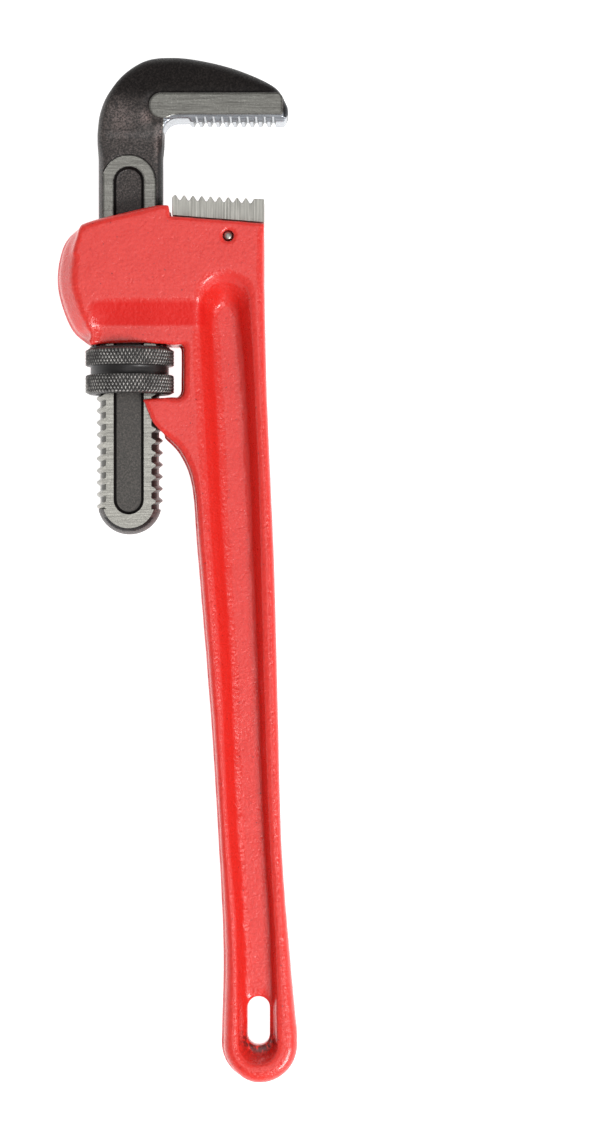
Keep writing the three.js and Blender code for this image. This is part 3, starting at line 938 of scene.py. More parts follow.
@dataclass
class HandleCasting:
    """The handle: housing, nut window, boss, I-beam grip and hang hole in one casting."""

    ledge_half: float = 11.4
    web_half: float = 3.5
    channel_half: float = 9.1
    channel_left: float = -14.25
    channel_right: float = 14.8
    channel_low: float = 5.0
    boss_way: tuple[float, float, float] = (14.5, -40.0, -8.0)
    window_right: float = 21.7
    window: tuple[float, float] = (-12.2, 9.4)
    window_r: tuple[float, float] = (3.4, 1.7)
    boss_tip: Point = (5.0, -13.1)
    rim: tuple[float, float] = (1.1, 2.4)
    slope: tuple[float, float] = (6.2, 8.6)
    seat: tuple[Point, Point] = ((17.5, 62.5), (56.4, 59.5))
    end: tuple[float, float, float] = (54.3, -281.55, 15.85)
    hang: tuple[float, float, float, float] = (54.0, -282.4, -262.0, 4.6)
    pin: Point = HEEL_PIN
    pin_hole_r: float = 2.35
    mortise: tuple[float, float, float, float] = (31.7, 51.3, 48.9, 5.3)
    leaf_pocket: tuple[float, float, float, float, float] = (14.9, 20.2, 14.0, 59.0, 5.6)
    coil_pocket: tuple[float, float, float] = (44.0, 4.7, 26.9)
    pitch: float = 0.84
    sample_box: tuple[tuple, tuple] = ((-32, -299.5, -17), (72.5, 69, 17))
    right_face: list[Point] = field(default_factory=lambda: [
        (-320, 10.6), (-215, 10), (-150, 10.4), (-80, 11.6), (-20, 13.4), (36, 15.5), (80, 15.5)])

    def outline(self) -> np.ndarray:
        """Draws the silhouette.

        Returns:
            The closed line.
        """
        (r_low, r_high), right = self.window_r, self.window_right
        low, high = self.window
        line = Outline((-13.4, 61.2)).through([(5.4, 65.7), (12, 67.1)])
        line.to((16.8, 67.1), *self.seat, (56.5, 33.8))
        line.through([(57.5, -12.4), (60.4, -79.6), (62, -141), (63.6, -200), (67.3, -248),
                      (70.2, -278)])
        line.arc(self.end[:2], self.end[2], 0.15, -math.pi)
        line.through([(39.2, -244), (37.6, -205), (33.9, -145), (27.9, -71.2)])
        line.through([(25.9, -48), (20.8, -35.5), (13.7, -28.2)])
        line.through([(8.8, -22.6), self.boss_tip])
        line.arc((right - r_low, low + r_low), r_low, -math.pi / 2, 0)
        line.arc((right - r_high, high - r_high), r_high, 0, math.pi / 2)
        line.through([(4, 10.2), (-16.2, 9.4)])
        line.through([(-23.5, 15.6), (-28.2, 26), (-30.2, 37), (-28.7, 48), (-25.6, 54.6),
                      (-20.6, 58.6), (-13.4, 61.2)])
        return line.loop()

    def recess_floor(self) -> np.ndarray:
        """Draws the foot of the recess between the flanges.

        Returns:
            The closed line.
        """
        line = Outline((49.2, -280)).arc((54.5, -280), 5.3, math.pi, 2 * math.pi)
        line.through([(58.9, -236), (55.8, -188), (53.5, -126), (51.1, -71), (48.5, -10),
                      (45.4, 21.5)])
        line.arc((40.3, 21.5), 5.1, 0, math.pi)
        line.through([(37.2, -10), (40.2, -71), (43.3, -126), (45.7, -188), (48.4, -236),
                      (49.2, -280)])
        return line.loop()

    def recess_mouth(self) -> np.ndarray:
        """Draws the edge of the recess on the face.

        Returns:
            The closed line.
        """
        line = Outline((45, -281.5)).arc((53.6, -281.5), 8.6, math.pi, 2 * math.pi)
        line.through([(61.4, -244), (58.5, -188), (56.4, -126), (55, -60), (53.2, -17),
                      (50.9, 29)])
        line.arc((40.2, 29), 10.7, 0, math.pi)
        line.through([(29, 4.8), (33.3, -71), (37.5, -126), (40.2, -188), (43.9, -229),
                      (45, -281.5)])
        return line.loop()

    def face_height(self, x: np.ndarray, y: np.ndarray) -> np.ndarray:
        """Works out half the casting's thickness, recess and cove included.

        Args:
            x: First coordinates.
            y: Second coordinates.

        Returns:
            The heights of the face above the middle plane.
        """
        at, half = zip(*self.right_face)
        right = np.interp(y, at, half)
        ramp = 0.6 * np.clip((y - 16.5) / 12.5, 0, 1) + 0.4 * blend(16, 29.5, y)
        cove = 1 - (1 - ramp) * blend(-21, -7, x - 0.35 * (y - 22))
        ledge = np.minimum(right, self.ledge_half)
        left = ledge + (right - ledge) * cove
        face = left + (right - left) * blend(34, 46, x)
        foot = distance_to(self.recess_floor(), x, y)
        mouth = distance_to(self.recess_mouth(), x, y)
        rise = np.clip(foot / np.maximum(foot - mouth, 1e-6), 0, 1)
        rise = np.where(mouth > 0, 1, np.where(foot < 0, 0, rise))
        slope = 0.35 * rise + 0.65 * blend(0, 1, rise)
        height = self.web_half + (face - self.web_half) * slope
        lip = 0.35 * bell(np.maximum(mouth, 0), 1.2) * (mouth > -3)
        wander = foot - 0.5 * rolling(x, y, 4, 6)
        bead = 0.45 * bell(wander, 0.7) * (x < 51) * blend(40, 20, y)
        return height - lip + bead + 0.16 * rolling(x, y, 11, 3) + 0.05 * rolling(x, y, 3.5, 4)

    def edge_radius(self, x: np.ndarray, y: np.ndarray) -> np.ndarray:
        """Gives the radius of the outer edge: large on the housing's back, small at the seat.

        Args:
            x: First coordinates.
            y: Second coordinates.

        Returns:
            The radii.
        """
        crisp = blend(52, 58, y) * blend(10, 16, x)
        over_nut = blend(17, 13, y) * blend(2, 6, y) * blend(24, 20, x) * blend(-20, -15, x)
        boss = blend(-7, -10, y) * blend(-32, -24, y) * blend(20, 13, x)
        grip = blend(-200, -270, y)
        return 2.6 - 1.7 * crisp - 1.6 * over_nut - 1.6 * boss + 1.8 * grip

    def slope_share(self, x: np.ndarray, y: np.ndarray, facing: np.ndarray) -> np.ndarray:
        """Says how much of the back's broad slope there is at each place.

        Args:
            x: First coordinates.
            y: Second coordinates.
            facing: How squarely the nearest edge looks to the back.

        Returns:
            The shares, from 0 to 1.
        """
        low = blend(0.25, 0.8, facing) * blend(2, -8, x)
        return np.where(y > 46, blend(-17, -25, x), low) * blend(4, 10, y)

    def back_slope(self, side: np.ndarray, top: np.ndarray, back: np.ndarray) -> np.ndarray:
        """Measures the distance to the broad slope along the housing's back.

        Args:
            side: The distances to the silhouette, rim left out.
            top: The distances to the face.
            back: How much of the slope there is, from 0 to 1.

        Returns:
            The distances.
        """
        run, fall = self.slope[0] * back, self.slope[1]
        plane = (fall * (side + run) + run * top) / np.hypot(run, fall)
        return plane - 9 * (1 - blend(0, 0.45, back))

    def solid(self, lattice: Lattice) -> np.ndarray:
        """Works out the casting's field.

        Args:
            lattice: Where to work it out.

        Returns:
            The field, negative inside the iron.
        """
        x, y, z = lattice.axes()
        px, py = lattice.plan()
        height = self.face_height(px, py)
        tilt = np.hypot(*np.gradient(height, lattice.pitch))
        drawn = distance_to(self.outline(), px, py) + 0.06 * rolling(px, py, 7, 5)
        facing = -np.gradient(drawn, axis=0) / lattice.pitch
        inset = self.rim[0] * blend(0.1, 0.8, facing)
        flat = {
            "side": drawn, "inset": inset * (px < 52) * blend(61, 52, py),
            "height": height, "steep": 1 / np.hypot(1, tilt),
            "back": self.slope_share(px, py, facing),
            "edge": self.edge_radius(px, py), "hang": self.hang_hole(px, py),
            "pin": np.hypot(px - self.pin[0], py - self.pin[1]) - self.pin_hole_r,
        }
        flat = over_thickness(flat)
        top = (np.abs(z) - flat["height"]) * flat["steep"]
        body = both(flat["side"] + flat["inset"], top, flat["edge"])
        slope = self.back_slope(flat["side"] + flat["inset"], top, flat["back"])
        body = both(body, slope, 1.4)
        body = either(body, both(flat["side"], np.abs(z) - self.rim[1], 1.2), 0.2)
        body = both(body, -flat["hang"], 1.3)
        body = np.maximum(body, -flat["pin"])
        for hollow, radius in self.hollows(x, y, z):
            body = both(body, -hollow, radius)
        return body

    def hang_hole(self, x: np.ndarray, y: np.ndarray) -> np.ndarray:
        """Measures the distance to the slot near the grip's end."""
        middle, low, high, half = self.hang
        return np.hypot(x - middle, y - np.clip(y, low + half, high - half)) - half

    def hollows(self, x: np.ndarray, y: np.ndarray, z: np.ndarray) -> list:
        """Lists the casting's inner hollows, each with the radius of its edge.

        Args:
            x: First coordinates.
            y: Second coordinates.
            z: Third coordinates.

        Returns:
            Pairs of a field and a radius.
        """
        deep = np.maximum(np.abs(z) - self.channel_half, self.channel_low - y)
        wall = self.channel_right + (y - self.channel_low) * 3 / 70
        channel = np.maximum(deep, np.maximum(self.channel_left - x, x - wall))
        way_right, way_low, way_high = self.boss_way
        boss_way = np.maximum(np.abs(z) - self.channel_half,
                              np.maximum(y - way_high, x - way_right))
        boss_way = np.maximum(boss_way, way_low - y)
        left, right, low, high, half = self.leaf_pocket
        leaf = block(x, y, z, (left, low, -half), (right, high, half))
        coil_y, coil_r, coil_end = self.coil_pocket
        coil = np.maximum(np.hypot(y - coil_y, z) - coil_r, np.maximum(14 - x, x - coil_end))
        m_left, m_right, m_low, m_half = self.mortise
        slot = block(x, y, z, (m_left, m_low, -m_half), (m_right, 80, m_half))
        return [(channel, 0.8), (boss_way, 0.8), (leaf, 0.2), (coil, 0.2), (slot, 0.4)]

    def build(self, shop: PaintShop) -> bpy.types.Object:
        """Makes the casting and paints it.

        Args:
            shop: Where its finish comes from.

        Returns:
            The piece.
        """
        lattice = Lattice(*self.sample_box, self.pitch)
        piece = mesh_object("handle_casting", *lattice.surface(self.solid(lattice)))
        soften = piece.modifiers.new("settle", "SMOOTH")
        soften.factor, soften.iterations = 0.5, 2
        bake_modifiers(piece)
        at = drawing_points(piece)
        foot = distance_to(self.recess_floor(), at[:, 0], at[:, 1])
        mouth = distance_to(self.recess_mouth(), at[:, 0], at[:, 1])
        # Painted shade: half dark on the recess walls, nearly full dark in the hollows inside the
        # housing, and full dark in the cove band.
        wall = np.where((mouth < 0) & (foot > 0), 0.5, 0)
        inside = block(*at.T, (-14.3, 5, -9.2), (17.8, 80, 9.2)) < 0.1
        cove = 1.1 * blend(15, 19, at[:, 1]) * blend(31, 25, at[:, 1]) * blend(-21, -12, at[:, 0])
        cove *= blend(36, 30, at[:, 0])
        paint_mask(piece, "painted_shade", np.maximum.reduce([wall, inside * 0.9, cove]))
        # Painted shade with dirt: patches go near black on the slope round the bottom of the hang
        # hole.
        hole = self.hang_hole(at[:, 0], at[:, 1])
        below = blend(-272, -282, at[:, 1]) * (np.abs(at[:, 2]) < 9.2)
        paint_mask(piece, "dirt_and_shade", below * bell(hole - 1.2, 2.4) * (hole > -0.5))
        shop.fit(piece, Finish.ENAMEL, "handle", "handle")
        return piece


# ---- hook jaw -----------------------------------------------------------------------------


@dataclass
class ShankScrew:
    """The hook jaw's threaded shank: a helical thread with two milled flats and a round tail."""

    crest_r: float = 13.8
    root_r: float = 12.35
    pitch: float = 5.0
    low: float = -59.0
    high: float = 47.0
    flat_half: float = 8.0
    slot_half: float = 6.3
    slot: Point = (-60.9, 83.9)
    slot_depth: float = 1.6
    draft: float = 1.2
    tail: tuple[float, float, float] = (-56.0, 13.4, 13.2)
    tail_overlap: float = 0.3
    tail_sides: int = 96
    pole_r: float = 0.02
    weld: float = 0.002
    columns: int = 160
    form: list[Point] = field(default_factory=lambda: [
        (-0.5, 0), (-0.30, 0), (-0.26, 0.12), (-0.09, 0.88), (-0.05, 1), (0.0, 1), (0.05, 1),
        (0.09, 0.88), (0.26, 0.12), (0.30, 0)])

    def thread_radius(self, around: np.ndarray, y: np.ndarray, spare: float) -> np.ndarray:
        """Works out the radius of a nut's thread that runs on this screw.

        Args:
            around: The angle from across towards the back, in radians.
            y: The place along the shank.
            spare: What is added to the radius.

        Returns:
            The radii.
        """
        phase = y / self.pitch - around / (2 * math.pi)
        off = np.abs(phase - np.round(phase))
        crest = np.clip((0.36 - off) / 0.17, 0, 1)
        return self.root_r + spare + (self.crest_r - self.root_r) * crest

    def threaded_rod(self) -> bpy.types.Object:
        """Lays the thread along its own helix, so that its edges run clean.

        Returns:
            The rod, without its flats.
        """
        rise = self.crest_r - self.root_r
        first, last = int(self.low // self.pitch) - 1, int(self.high // self.pitch) + 2
        rows = [(turn + at, self.root_r + rise * share)
                for turn in range(first, last) for at, share in self.form]
        phase, radius = (np.array(v)[:, None] for v in zip(*rows))
        turn = np.linspace(0, 1, self.columns + 1)[None, :]
        y = (phase + turn) * self.pitch
        radius = np.broadcast_to(radius, y.shape).copy()
        for end, past in ((self.low, y < self.low), (self.high, y > self.high)):
            rim = np.interp(end / self.pitch - turn[0], phase[:, 0], radius[:, 0])
            radius = np.where(past, rim[None, :], radius)
        y = np.clip(y, self.low, self.high)
        x, z = radius * np.cos(2 * math.pi * turn), -radius * np.sin(2 * math.pi * turn)
        points = np.stack([np.broadcast_to(v, y.shape) for v in (x, y, z)], axis=2)
        wide = self.columns + 1
        r, c = np.meshgrid(np.arange(len(rows) - 1), np.arange(self.columns), indexing="ij")
        quads = np.stack([r * wide + c, r * wide + c + 1, (r + 1) * wide + c + 1,
                          (r + 1) * wide + c], 2).reshape(-1, 4)
        rod = mesh_object("threaded_rod", points.reshape(-1, 3), quads.tolist())
        work = bmesh.new()
        work.from_mesh(rod.data)
        bmesh.ops.remove_doubles(work, verts=work.verts, dist=self.weld * MM)
        bmesh.ops.dissolve_degenerate(work, edges=work.edges, dist=self.weld * MM)
        bmesh.ops.holes_fill(work, edges=[e for e in work.edges if e.is_boundary], sides=0)
        bmesh.ops.recalc_face_normals(work, faces=work.faces)
        work.to_mesh(rod.data)
        work.free()
        return rod

    def round_tail(self) -> bpy.types.Object:
        """Makes the rounded end below the thread.

        Returns:
            The end, a body of its own.
        """
        middle, radius, depth = self.tail
        angle = full_turn(self.tail_sides)
        rows = [(self.low + self.tail_overlap, self.pole_r)]
        start = math.asin((middle - self.low - self.tail_overlap) / depth)
        for tilt in np.linspace(start, math.pi / 2, 26):
            reach = max(radius * math.cos(tilt), self.pole_r)
            rows.append((middle - depth * math.sin(tilt), reach))
        y, r = (np.array(v)[:, None] for v in zip(*rows))
        points = np.stack([r * np.cos(angle), np.broadcast_to(y, (len(rows), self.tail_sides)),
                           -r * np.sin(angle)], 2).reshape(-1, 3)
        return closed_object("round_tail", points, tube_faces(len(rows), self.tail_sides))

    def pocket(self, side: int) -> bpy.types.Object:
        """Makes the tool for the slot on one side, with drafted walls.

        Args:
            side: 1 for the front, -1 for the back.

        Returns:
            The cutter.
        """
        deep, top = self.flat_half - self.slot_depth, self.flat_half + 1
        levels = ((-self.draft, deep), (self.draft / self.slot_depth, top))
        loops = [np.column_stack([self.slot_loop(spare), np.full(len(self.slot_loop()), side * z)])
                 for spare, z in levels]
        return closed_object("pocket", np.vstack(loops), tube_faces(2, len(loops[0])))

    def slot_loop(self, spare: float = 0) -> np.ndarray:
        """Draws the slot in the flats.

        Args:
            spare: What the line lies outside the slot.

        Returns:
            The closed line.
        """
        low, high = self.slot
        half = self.slot_half
        line = Outline((half + spare, high - half))
        line.arc((0, high - half), half + spare, 0, math.pi)
        line.arc((0, low + half), half + spare, math.pi, 2 * math.pi)
        return line.loop()

    def build(self, shop: PaintShop) -> bpy.types.Object:
        """Makes the shank, mills it and finishes it.

        Args:
            shop: Where its finish comes from.

        Returns:
            The piece.
        """
        piece = self.threaded_rod()
        piece.name = "hook_jaw_screw"
        cut(piece, self.round_tail(), "UNION")
        slab = np.array([(-20, -90), (20, -90), (20, 60), (-20, 60)], float)
        cut(piece, prism("flats", slab, self.flat_half), "INTERSECT")
        for side in (-1, 1):
            cut(piece, self.pocket(side))
        crisp(piece)
        at, normal = face_centres(piece)
        x, y, z = at.T
        level = np.abs(normal[:, 2]) > 0.98
        on_flat = level & (np.abs(z) > self.flat_half - 0.2)
        floor = level & (np.abs(np.abs(z) - self.flat_half + self.slot_depth) < 0.2)
        radius = np.hypot(x, z)
        thread = ~on_flat & (radius > self.root_r - 0.6) & (y > self.low)
        # Painted light and shade: the threads left of the axis get a lighter bare finish than
        # those on the right.
        bright = 0.20 + 0.42 * (x < 0)
        paint_mask(piece, "ground", on_flat * 0.70 + thread * bright + floor * 0.12, "FACE")
        # Painted shadow: near black on the slot's walls, and on the thread's roots towards the
        # flats.
        wall = ~on_flat & ~floor & (radius < self.root_r - 0.6) & (np.abs(z) > 6)
        root = thread & (radius < self.root_r + 0.3) & (np.abs(z) > 4.5)
        paint_mask(piece, "painted_shadow", wall * 1.0 + root * 0.75, "FACE")
        shop.fit(piece, Finish.FORGED, "hook_jaw", "hook_jaw")
        return piece


@dataclass
class HookForging:
    """The hook itself: a drop-forged head with a ground pad, teeth and a milled arch."""

    screw: ShankScrew
    neck_r: float = 13.95
    head_half: float = 11.0
    tooth_y: float = 102.2
    tooth_first: float = 26.3
    tooth_pitch: float = 3.55
    tooth_depth: float = 2.0
    teeth: int = 10
    throat: float = 14.5
    relief: Point = (6.0, 103.6)
    arch: Point = (11.2, 88.5)
    lattice_pitch: float = 0.42
    sample_low: Point = (-15, -12)
    sample_high: tuple[float, float, float] = (68.4, 131, 12)
    seam_overlap: float = 1.3
    # Lighter spots: rubbed wear at the throat and by the pad's left end, and a painted highlight
    # on the left shoulder.
    rubs_and_highlights: tuple[tuple[float, Point, Point], ...] = (
        (1.0, (13.2, 93), (1.9, 6)), (0.7, (7, 104), (2, 2.4)), (0.3, (-3, 104), (5, 8)))

    def outline(self) -> np.ndarray:
        """Draws the hook above the housing, its underside plain.

        Returns:
            The closed line.
        """
        radius, level = self.relief
        line = Outline((-13.2, self.screw.high)).to((self.throat, self.screw.high))
        line.arc((self.throat + radius, level - radius), radius, math.pi, math.pi / 2)
        line.to((25, level), (25.8, self.tooth_y), (64.6, self.tooth_y), (66.4, 105.4))
        line.through([(65.6, 109.8), (60.4, 117.2), (46, 124.1), (31, 128.2), (18.4, 129.7),
                      (7.4, 128.5), (-2, 122.4), (-8.8, 113.7), (-12.1, 105.6), (-13.2, 97.2)])
        return line.loop()

    def pad(self) -> np.ndarray:
        """Draws the ground pad along the hook.

        Returns:
            The closed line.
        """
        low, high, left, right = 103.6, 114.2, 8.4, 64.0
        r = (high - low) / 2
        line = Outline((right, low)).to((right, high - 1.5), (right - 1.5, high))
        line.arc((left + r, low + r), r, math.pi / 2, 1.5 * math.pi)
        return line.loop()

    def arch_distance(self, x: np.ndarray, y: np.ndarray) -> np.ndarray:
        """Measures the distance to the milled arch."""
        half, top = self.arch
        return np.hypot(x, y - np.minimum(y, top - half)) - half

    def slot_distance(self, x: np.ndarray, y: np.ndarray) -> np.ndarray:
        """Measures the distance to the slot in the flats."""
        half, high = self.screw.slot_half, self.screw.slot[1]
        return np.hypot(x, y - np.minimum(y, high - half)) - half

    def face_height(self, x: np.ndarray, y: np.ndarray, pad: np.ndarray) -> np.ndarray:
        """Works out half the forging's thickness: a full back and a valley round the pad.

        Args:
            x: First coordinates.
            y: Second coordinates.
            pad: The distances to the pad.

        Returns:
            The heights above the middle plane.
        """
        rise = blend(96, 110, y + 0.25 * x)
        valley = 0.8 * bell(np.maximum(pad, 0), 2.0)
        fall = 0.9 * blend(104, 90, y) * blend(2, 13, x)
        draft = 3.6 * np.clip((y - 114.5) / 15, 0, 1) * blend(-12, 12, x)
        clear_of_housing = blend(95, 98.5, y)
        height = 8.85 + 0.85 * clear_of_housing + 0.9 * rise - (valley + fall) * clear_of_housing
        height -= draft
        return height + 0.10 * rolling(x, y, 5, 11) + 0.05 * rolling(x, y, 2, 12)

    def solid(self, lattice: Lattice) -> np.ndarray:
        """Works out the forging's field.

        Args:
            lattice: Where to work it out.

        Returns:
            The field, negative inside the steel.
        """
        x, y, z = lattice.axes()
        px, py = lattice.plan()
        side = distance_to(self.outline(), px, py)
        pad = distance_to(self.pad(), px, py)
        height = self.face_height(px, py, pad)
        slopes = np.hypot(*np.gradient(height, lattice.pitch))
        machined = blend(106, 103.5, py) * blend(12, 16, px)
        turn = np.clip((px - 14.8) / 6.5, 0, 1)
        front = 102.0 + 3.4 * np.sqrt(1 - (1 - turn) ** 2)
        flat = {
            "side": side, "pad": pad, "height": height, "steep": 1 / np.hypot(1, slopes),
            "edge": 3.9 - 3.2 * machined, "front": np.where(px < 14.3, -60, front),
            "arch": self.arch_distance(px, py), "slot": self.slot_distance(px, py),
        }
        flat = over_thickness(flat)
        forged = both(flat["side"], (np.abs(z) - flat["height"]) * flat["steep"], flat["edge"])
        growth = 0.03 * np.maximum(y - 86, 0) ** 2 + 60 * ((x > 12) & (y > 96))
        neck = np.hypot(x - 0.5, z) - self.neck_r - growth
        forged = both(forged, np.maximum(neck, -40), 1.2)
        ground = both(both(flat["side"], flat["pad"], 0.4), np.abs(z) - self.head_half, 0.25)
        body = either(forged, ground, 0.3)
        chamfer = 0.768 * (np.abs(z) - self.head_half) - 0.64 * (y - flat["front"])
        body = both(body, chamfer, 0.15)
        half, depth = self.screw.flat_half, self.screw.slot_depth
        body = both(body, -np.maximum(flat["arch"], half - np.abs(z)), 0.15)
        wall = 0.8 * flat["slot"] + 0.6 * (half - np.abs(z))
        pocket = np.maximum(wall, half - depth - np.abs(z))
        return np.maximum(both(body, -pocket, 0.12), self.screw.high - y)

    def paint_shadows(self, piece: bpy.types.Object) -> None:
        """Paints shadow near black: on the slot's wall, the arch's step, the neck's side, one
        flank of each groove between the teeth, the tooth roots, the crown and the valley round the
        pad.

        Args:
            piece: The forging.
        """
        at, normal = face_centres(piece)
        x, y, z = at.T
        half, up = self.screw.flat_half, np.abs(z)
        slot, arch = self.slot_distance(x, y), self.arch_distance(x, y)
        wall = (slot < 0.1) & (up < half - 0.12) & (up > half - self.screw.slot_depth + 0.15)
        step = (arch < 0.35) & (arch > -0.5) & (up > half + 0.12)
        side = blend(11.4, 12.6, x) * blend(101, 92, y) * (y < 101)
        groove = (y < self.tooth_y + 3.2) & (x > 26) & (x < 62) & (normal[:, 0] > 0.25)
        root = (y > self.tooth_y + 1.6) & (y < self.tooth_y + 3.2) & (normal[:, 1] < -0.9)
        root &= (x > 26.5) & (x < 61)
        pad = distance_to(self.pad(), x, y)
        crown = 0.78 * blend(105, 117, y + 0.15 * x) + 0.12 * blend(40, 62, x)
        valley = 0.85 * bell(np.maximum(pad, 0), 2.6) * blend(2, 16, x) * (y > 113)
        crown = np.maximum(crown, valley) * (pad > 0.2) * (y > 104)
        # All of these marks are painted shadow.
        black = [(wall | step) * 1.0, 0.9 * side, groove * 0.9, root * 0.15, crown]
        paint_mask(piece, "painted_shadow", np.maximum.reduce(black), "FACE")

    def tooth_cutter(self) -> bpy.types.Object:
        """Makes the tool that cuts the grooves between the teeth.

        Returns:
            The cutter.
        """
        y, p = self.tooth_y, self.tooth_pitch
        line = [(self.tooth_first, y - 3)]
        for i in range(self.teeth):
            at = self.tooth_first + i * p
            line += [(at + 0.14 * p, y - 0.1), (at + 0.40 * p, y + self.tooth_depth),
                     (at + 0.62 * p, y + self.tooth_depth), (at + 0.84 * p, y - 0.1)]
        line.append((line[-1][0] + 0.5, y - 3))
        return prism("tooth_cutter", np.array(line), self.head_half + 4)

    def build(self, shop: PaintShop) -> bpy.types.Object:
        """Makes the forging, cuts its teeth and finishes it.

        Args:
            shop: Where its finish comes from.

        Returns:
            The piece.
        """
        left, back = self.sample_low
        low = (left, self.screw.high - self.seam_overlap, back)
        lattice = Lattice(low, self.sample_high, self.lattice_pitch)
        piece = mesh_object("hook_jaw_forging", *lattice.surface(self.solid(lattice)))
        cut(piece, self.tooth_cutter())
        crisp(piece, 40)
        x, y, z = drawing_points(piece).T
        pad, arch = distance_to(self.pad(), x, y), self.arch_distance(x, y)
        slot, half = self.slot_distance(x, y), self.screw.flat_half
        on_pad = (pad < 0.3) & (np.abs(z) > self.head_half - 0.2)
        on_flat = (np.abs(np.abs(z) - half) < 0.2) & (arch < 0.1) & (slot > 0)
        under = (y < 107) & (y > 98) & (x > 14.2) & ~on_pad
        under &= y - self.tooth_y < 5.4 - 1.2 * np.maximum(np.abs(z) - 8.5, 0)
        tip = (x > 64.6) & (y < 113) & (y > 100)
        ground = np.maximum.reduce([on_pad * 0.42, on_flat * 0.48, under * 1.0, tip * 1.0])
        paint_mask(piece, "ground", ground)
        self.paint_shadows(piece)
        # Paints rubbed wear and the painted highlight on the shoulder.
        paint_mask(piece, "wear_and_highlight", sum(share * spot(x, y, centre, spread)
                                     for share, centre, spread in self.rubs_and_highlights))
        shop.fit(piece, Finish.FORGED, "hook_jaw", "hook_jaw")
        return piece


# ---- adjusting nut --------------------------------------------------------------------------


@dataclass
class AdjustingNut:
    """The nut: two knurled bands, a groove between them and a bored thread."""

    screw: ShankScrew
    outer_r: float = 18.5
    groove_r: float = 16.35
    low: float = NUT_LOW
    high: float = 8.5
    groove: tuple[float, float] = (-2.7, 1.15)
    hub_r: float = 16.8
    hub_rise: float = 0.5
    chamfer: float = 0.9
    starts: int = 72
    lean: float = math.radians(30)
    knurl_depth: float = 0.6
    columns_per_start: int = 8
    clearance: float = 0.4
    mouth_depth: float = 0.8

    def profile(self) -> list[tuple[float, float, float]]:
        """Lists the rows of the nut's outside, from the lower bore edge up.

        Returns:
            Rows of place along the axis, radius and share of knurl.
        """
        c, r = self.chamfer, self.outer_r
        g_low, g_high = self.groove
        rows = [(self.low, 15.2, 0), (self.low, r - 2 * c, 0),
                (self.low + 0.15, r - 1.6 * c, 0.2)]
        rows += [(y, r, 1) for y in np.arange(self.low + c, g_low - 0.3, 0.2)]
        rows += [(g_low - 0.2, r - 0.3, 0.6), (g_low, r - 0.6, 0),
                 (g_low + 0.1, self.groove_r + 0.2, 0)]
        rows += [(y, self.groove_r, 0) for y in np.linspace(g_low + 0.4, g_high - 0.4, 4)]
        rows += [(g_high - 0.1, self.groove_r + 0.2, 0), (g_high, r - 0.6, 0),
                 (g_high + 0.2, r - 0.3, 0.6)]
        rows += [(y, r, 1) for y in np.arange(g_high + 0.4, self.high - c + 0.01, 0.2)]
        rows += [(self.high - 0.15, r - 1.6 * c, 0.2), (self.high, r - 2 * c, 0),
                 (self.high, self.hub_r, 0), (self.high + self.hub_rise, self.hub_r - 0.2, 0)]
        return rows

    def build(self, shop: PaintShop) -> bpy.types.Object:
        """Makes the nut and finishes it.

        Args:
            shop: Where its finish comes from.

        Returns:
            The piece.
        """
        columns = self.starts * self.columns_per_start
        angle = full_turn(columns)
        y, radius, knurl = (np.array(v)[:, None] for v in zip(*self.profile()))
        step = 2 * math.pi * self.outer_r / self.starts
        around = angle[None, :] * self.starts / (2 * math.pi)
        climb = y * math.tan(self.lean) / step
        ridge_a = 1 - np.abs(2 * ((around + climb) % 1) - 1)
        ridge_b = 1 - np.abs(2 * ((around - climb) % 1) - 1)
        peak = np.clip(np.minimum(ridge_a, ridge_b) * 1.35, 0, 1)
        outside = radius - knurl * self.knurl_depth * (1 - peak)
        bore_y = np.arange(self.high + self.hub_rise, self.low, -0.45)[:, None]
        bore_y = np.vstack([bore_y, [[self.low]]])
        bore_y = np.broadcast_to(bore_y, (len(bore_y), columns))
        bore = self.screw.thread_radius(angle[None, :], bore_y, self.clearance)
        mouth = np.minimum(self.high + self.hub_rise - bore_y, bore_y - self.low)
        flare = self.screw.crest_r + self.clearance + 0.3 * (self.mouth_depth - mouth)
        bore = np.where(mouth < self.mouth_depth, flare, bore)
        heights = np.vstack([np.broadcast_to(y, outside.shape), bore_y])
        piece = revolve("adjusting_nut_knurled", np.vstack([outside, bore]), heights)
        crest = np.vstack([knurl * peak**2, np.zeros_like(bore)])
        paint_mask(piece, "crest", crest.reshape(-1))
        shop.fit(piece, Finish.BLACK, "nut", "adjusting_nut")
        return piece


# ---- heel jaw and its pin -------------------------------------------------------------------


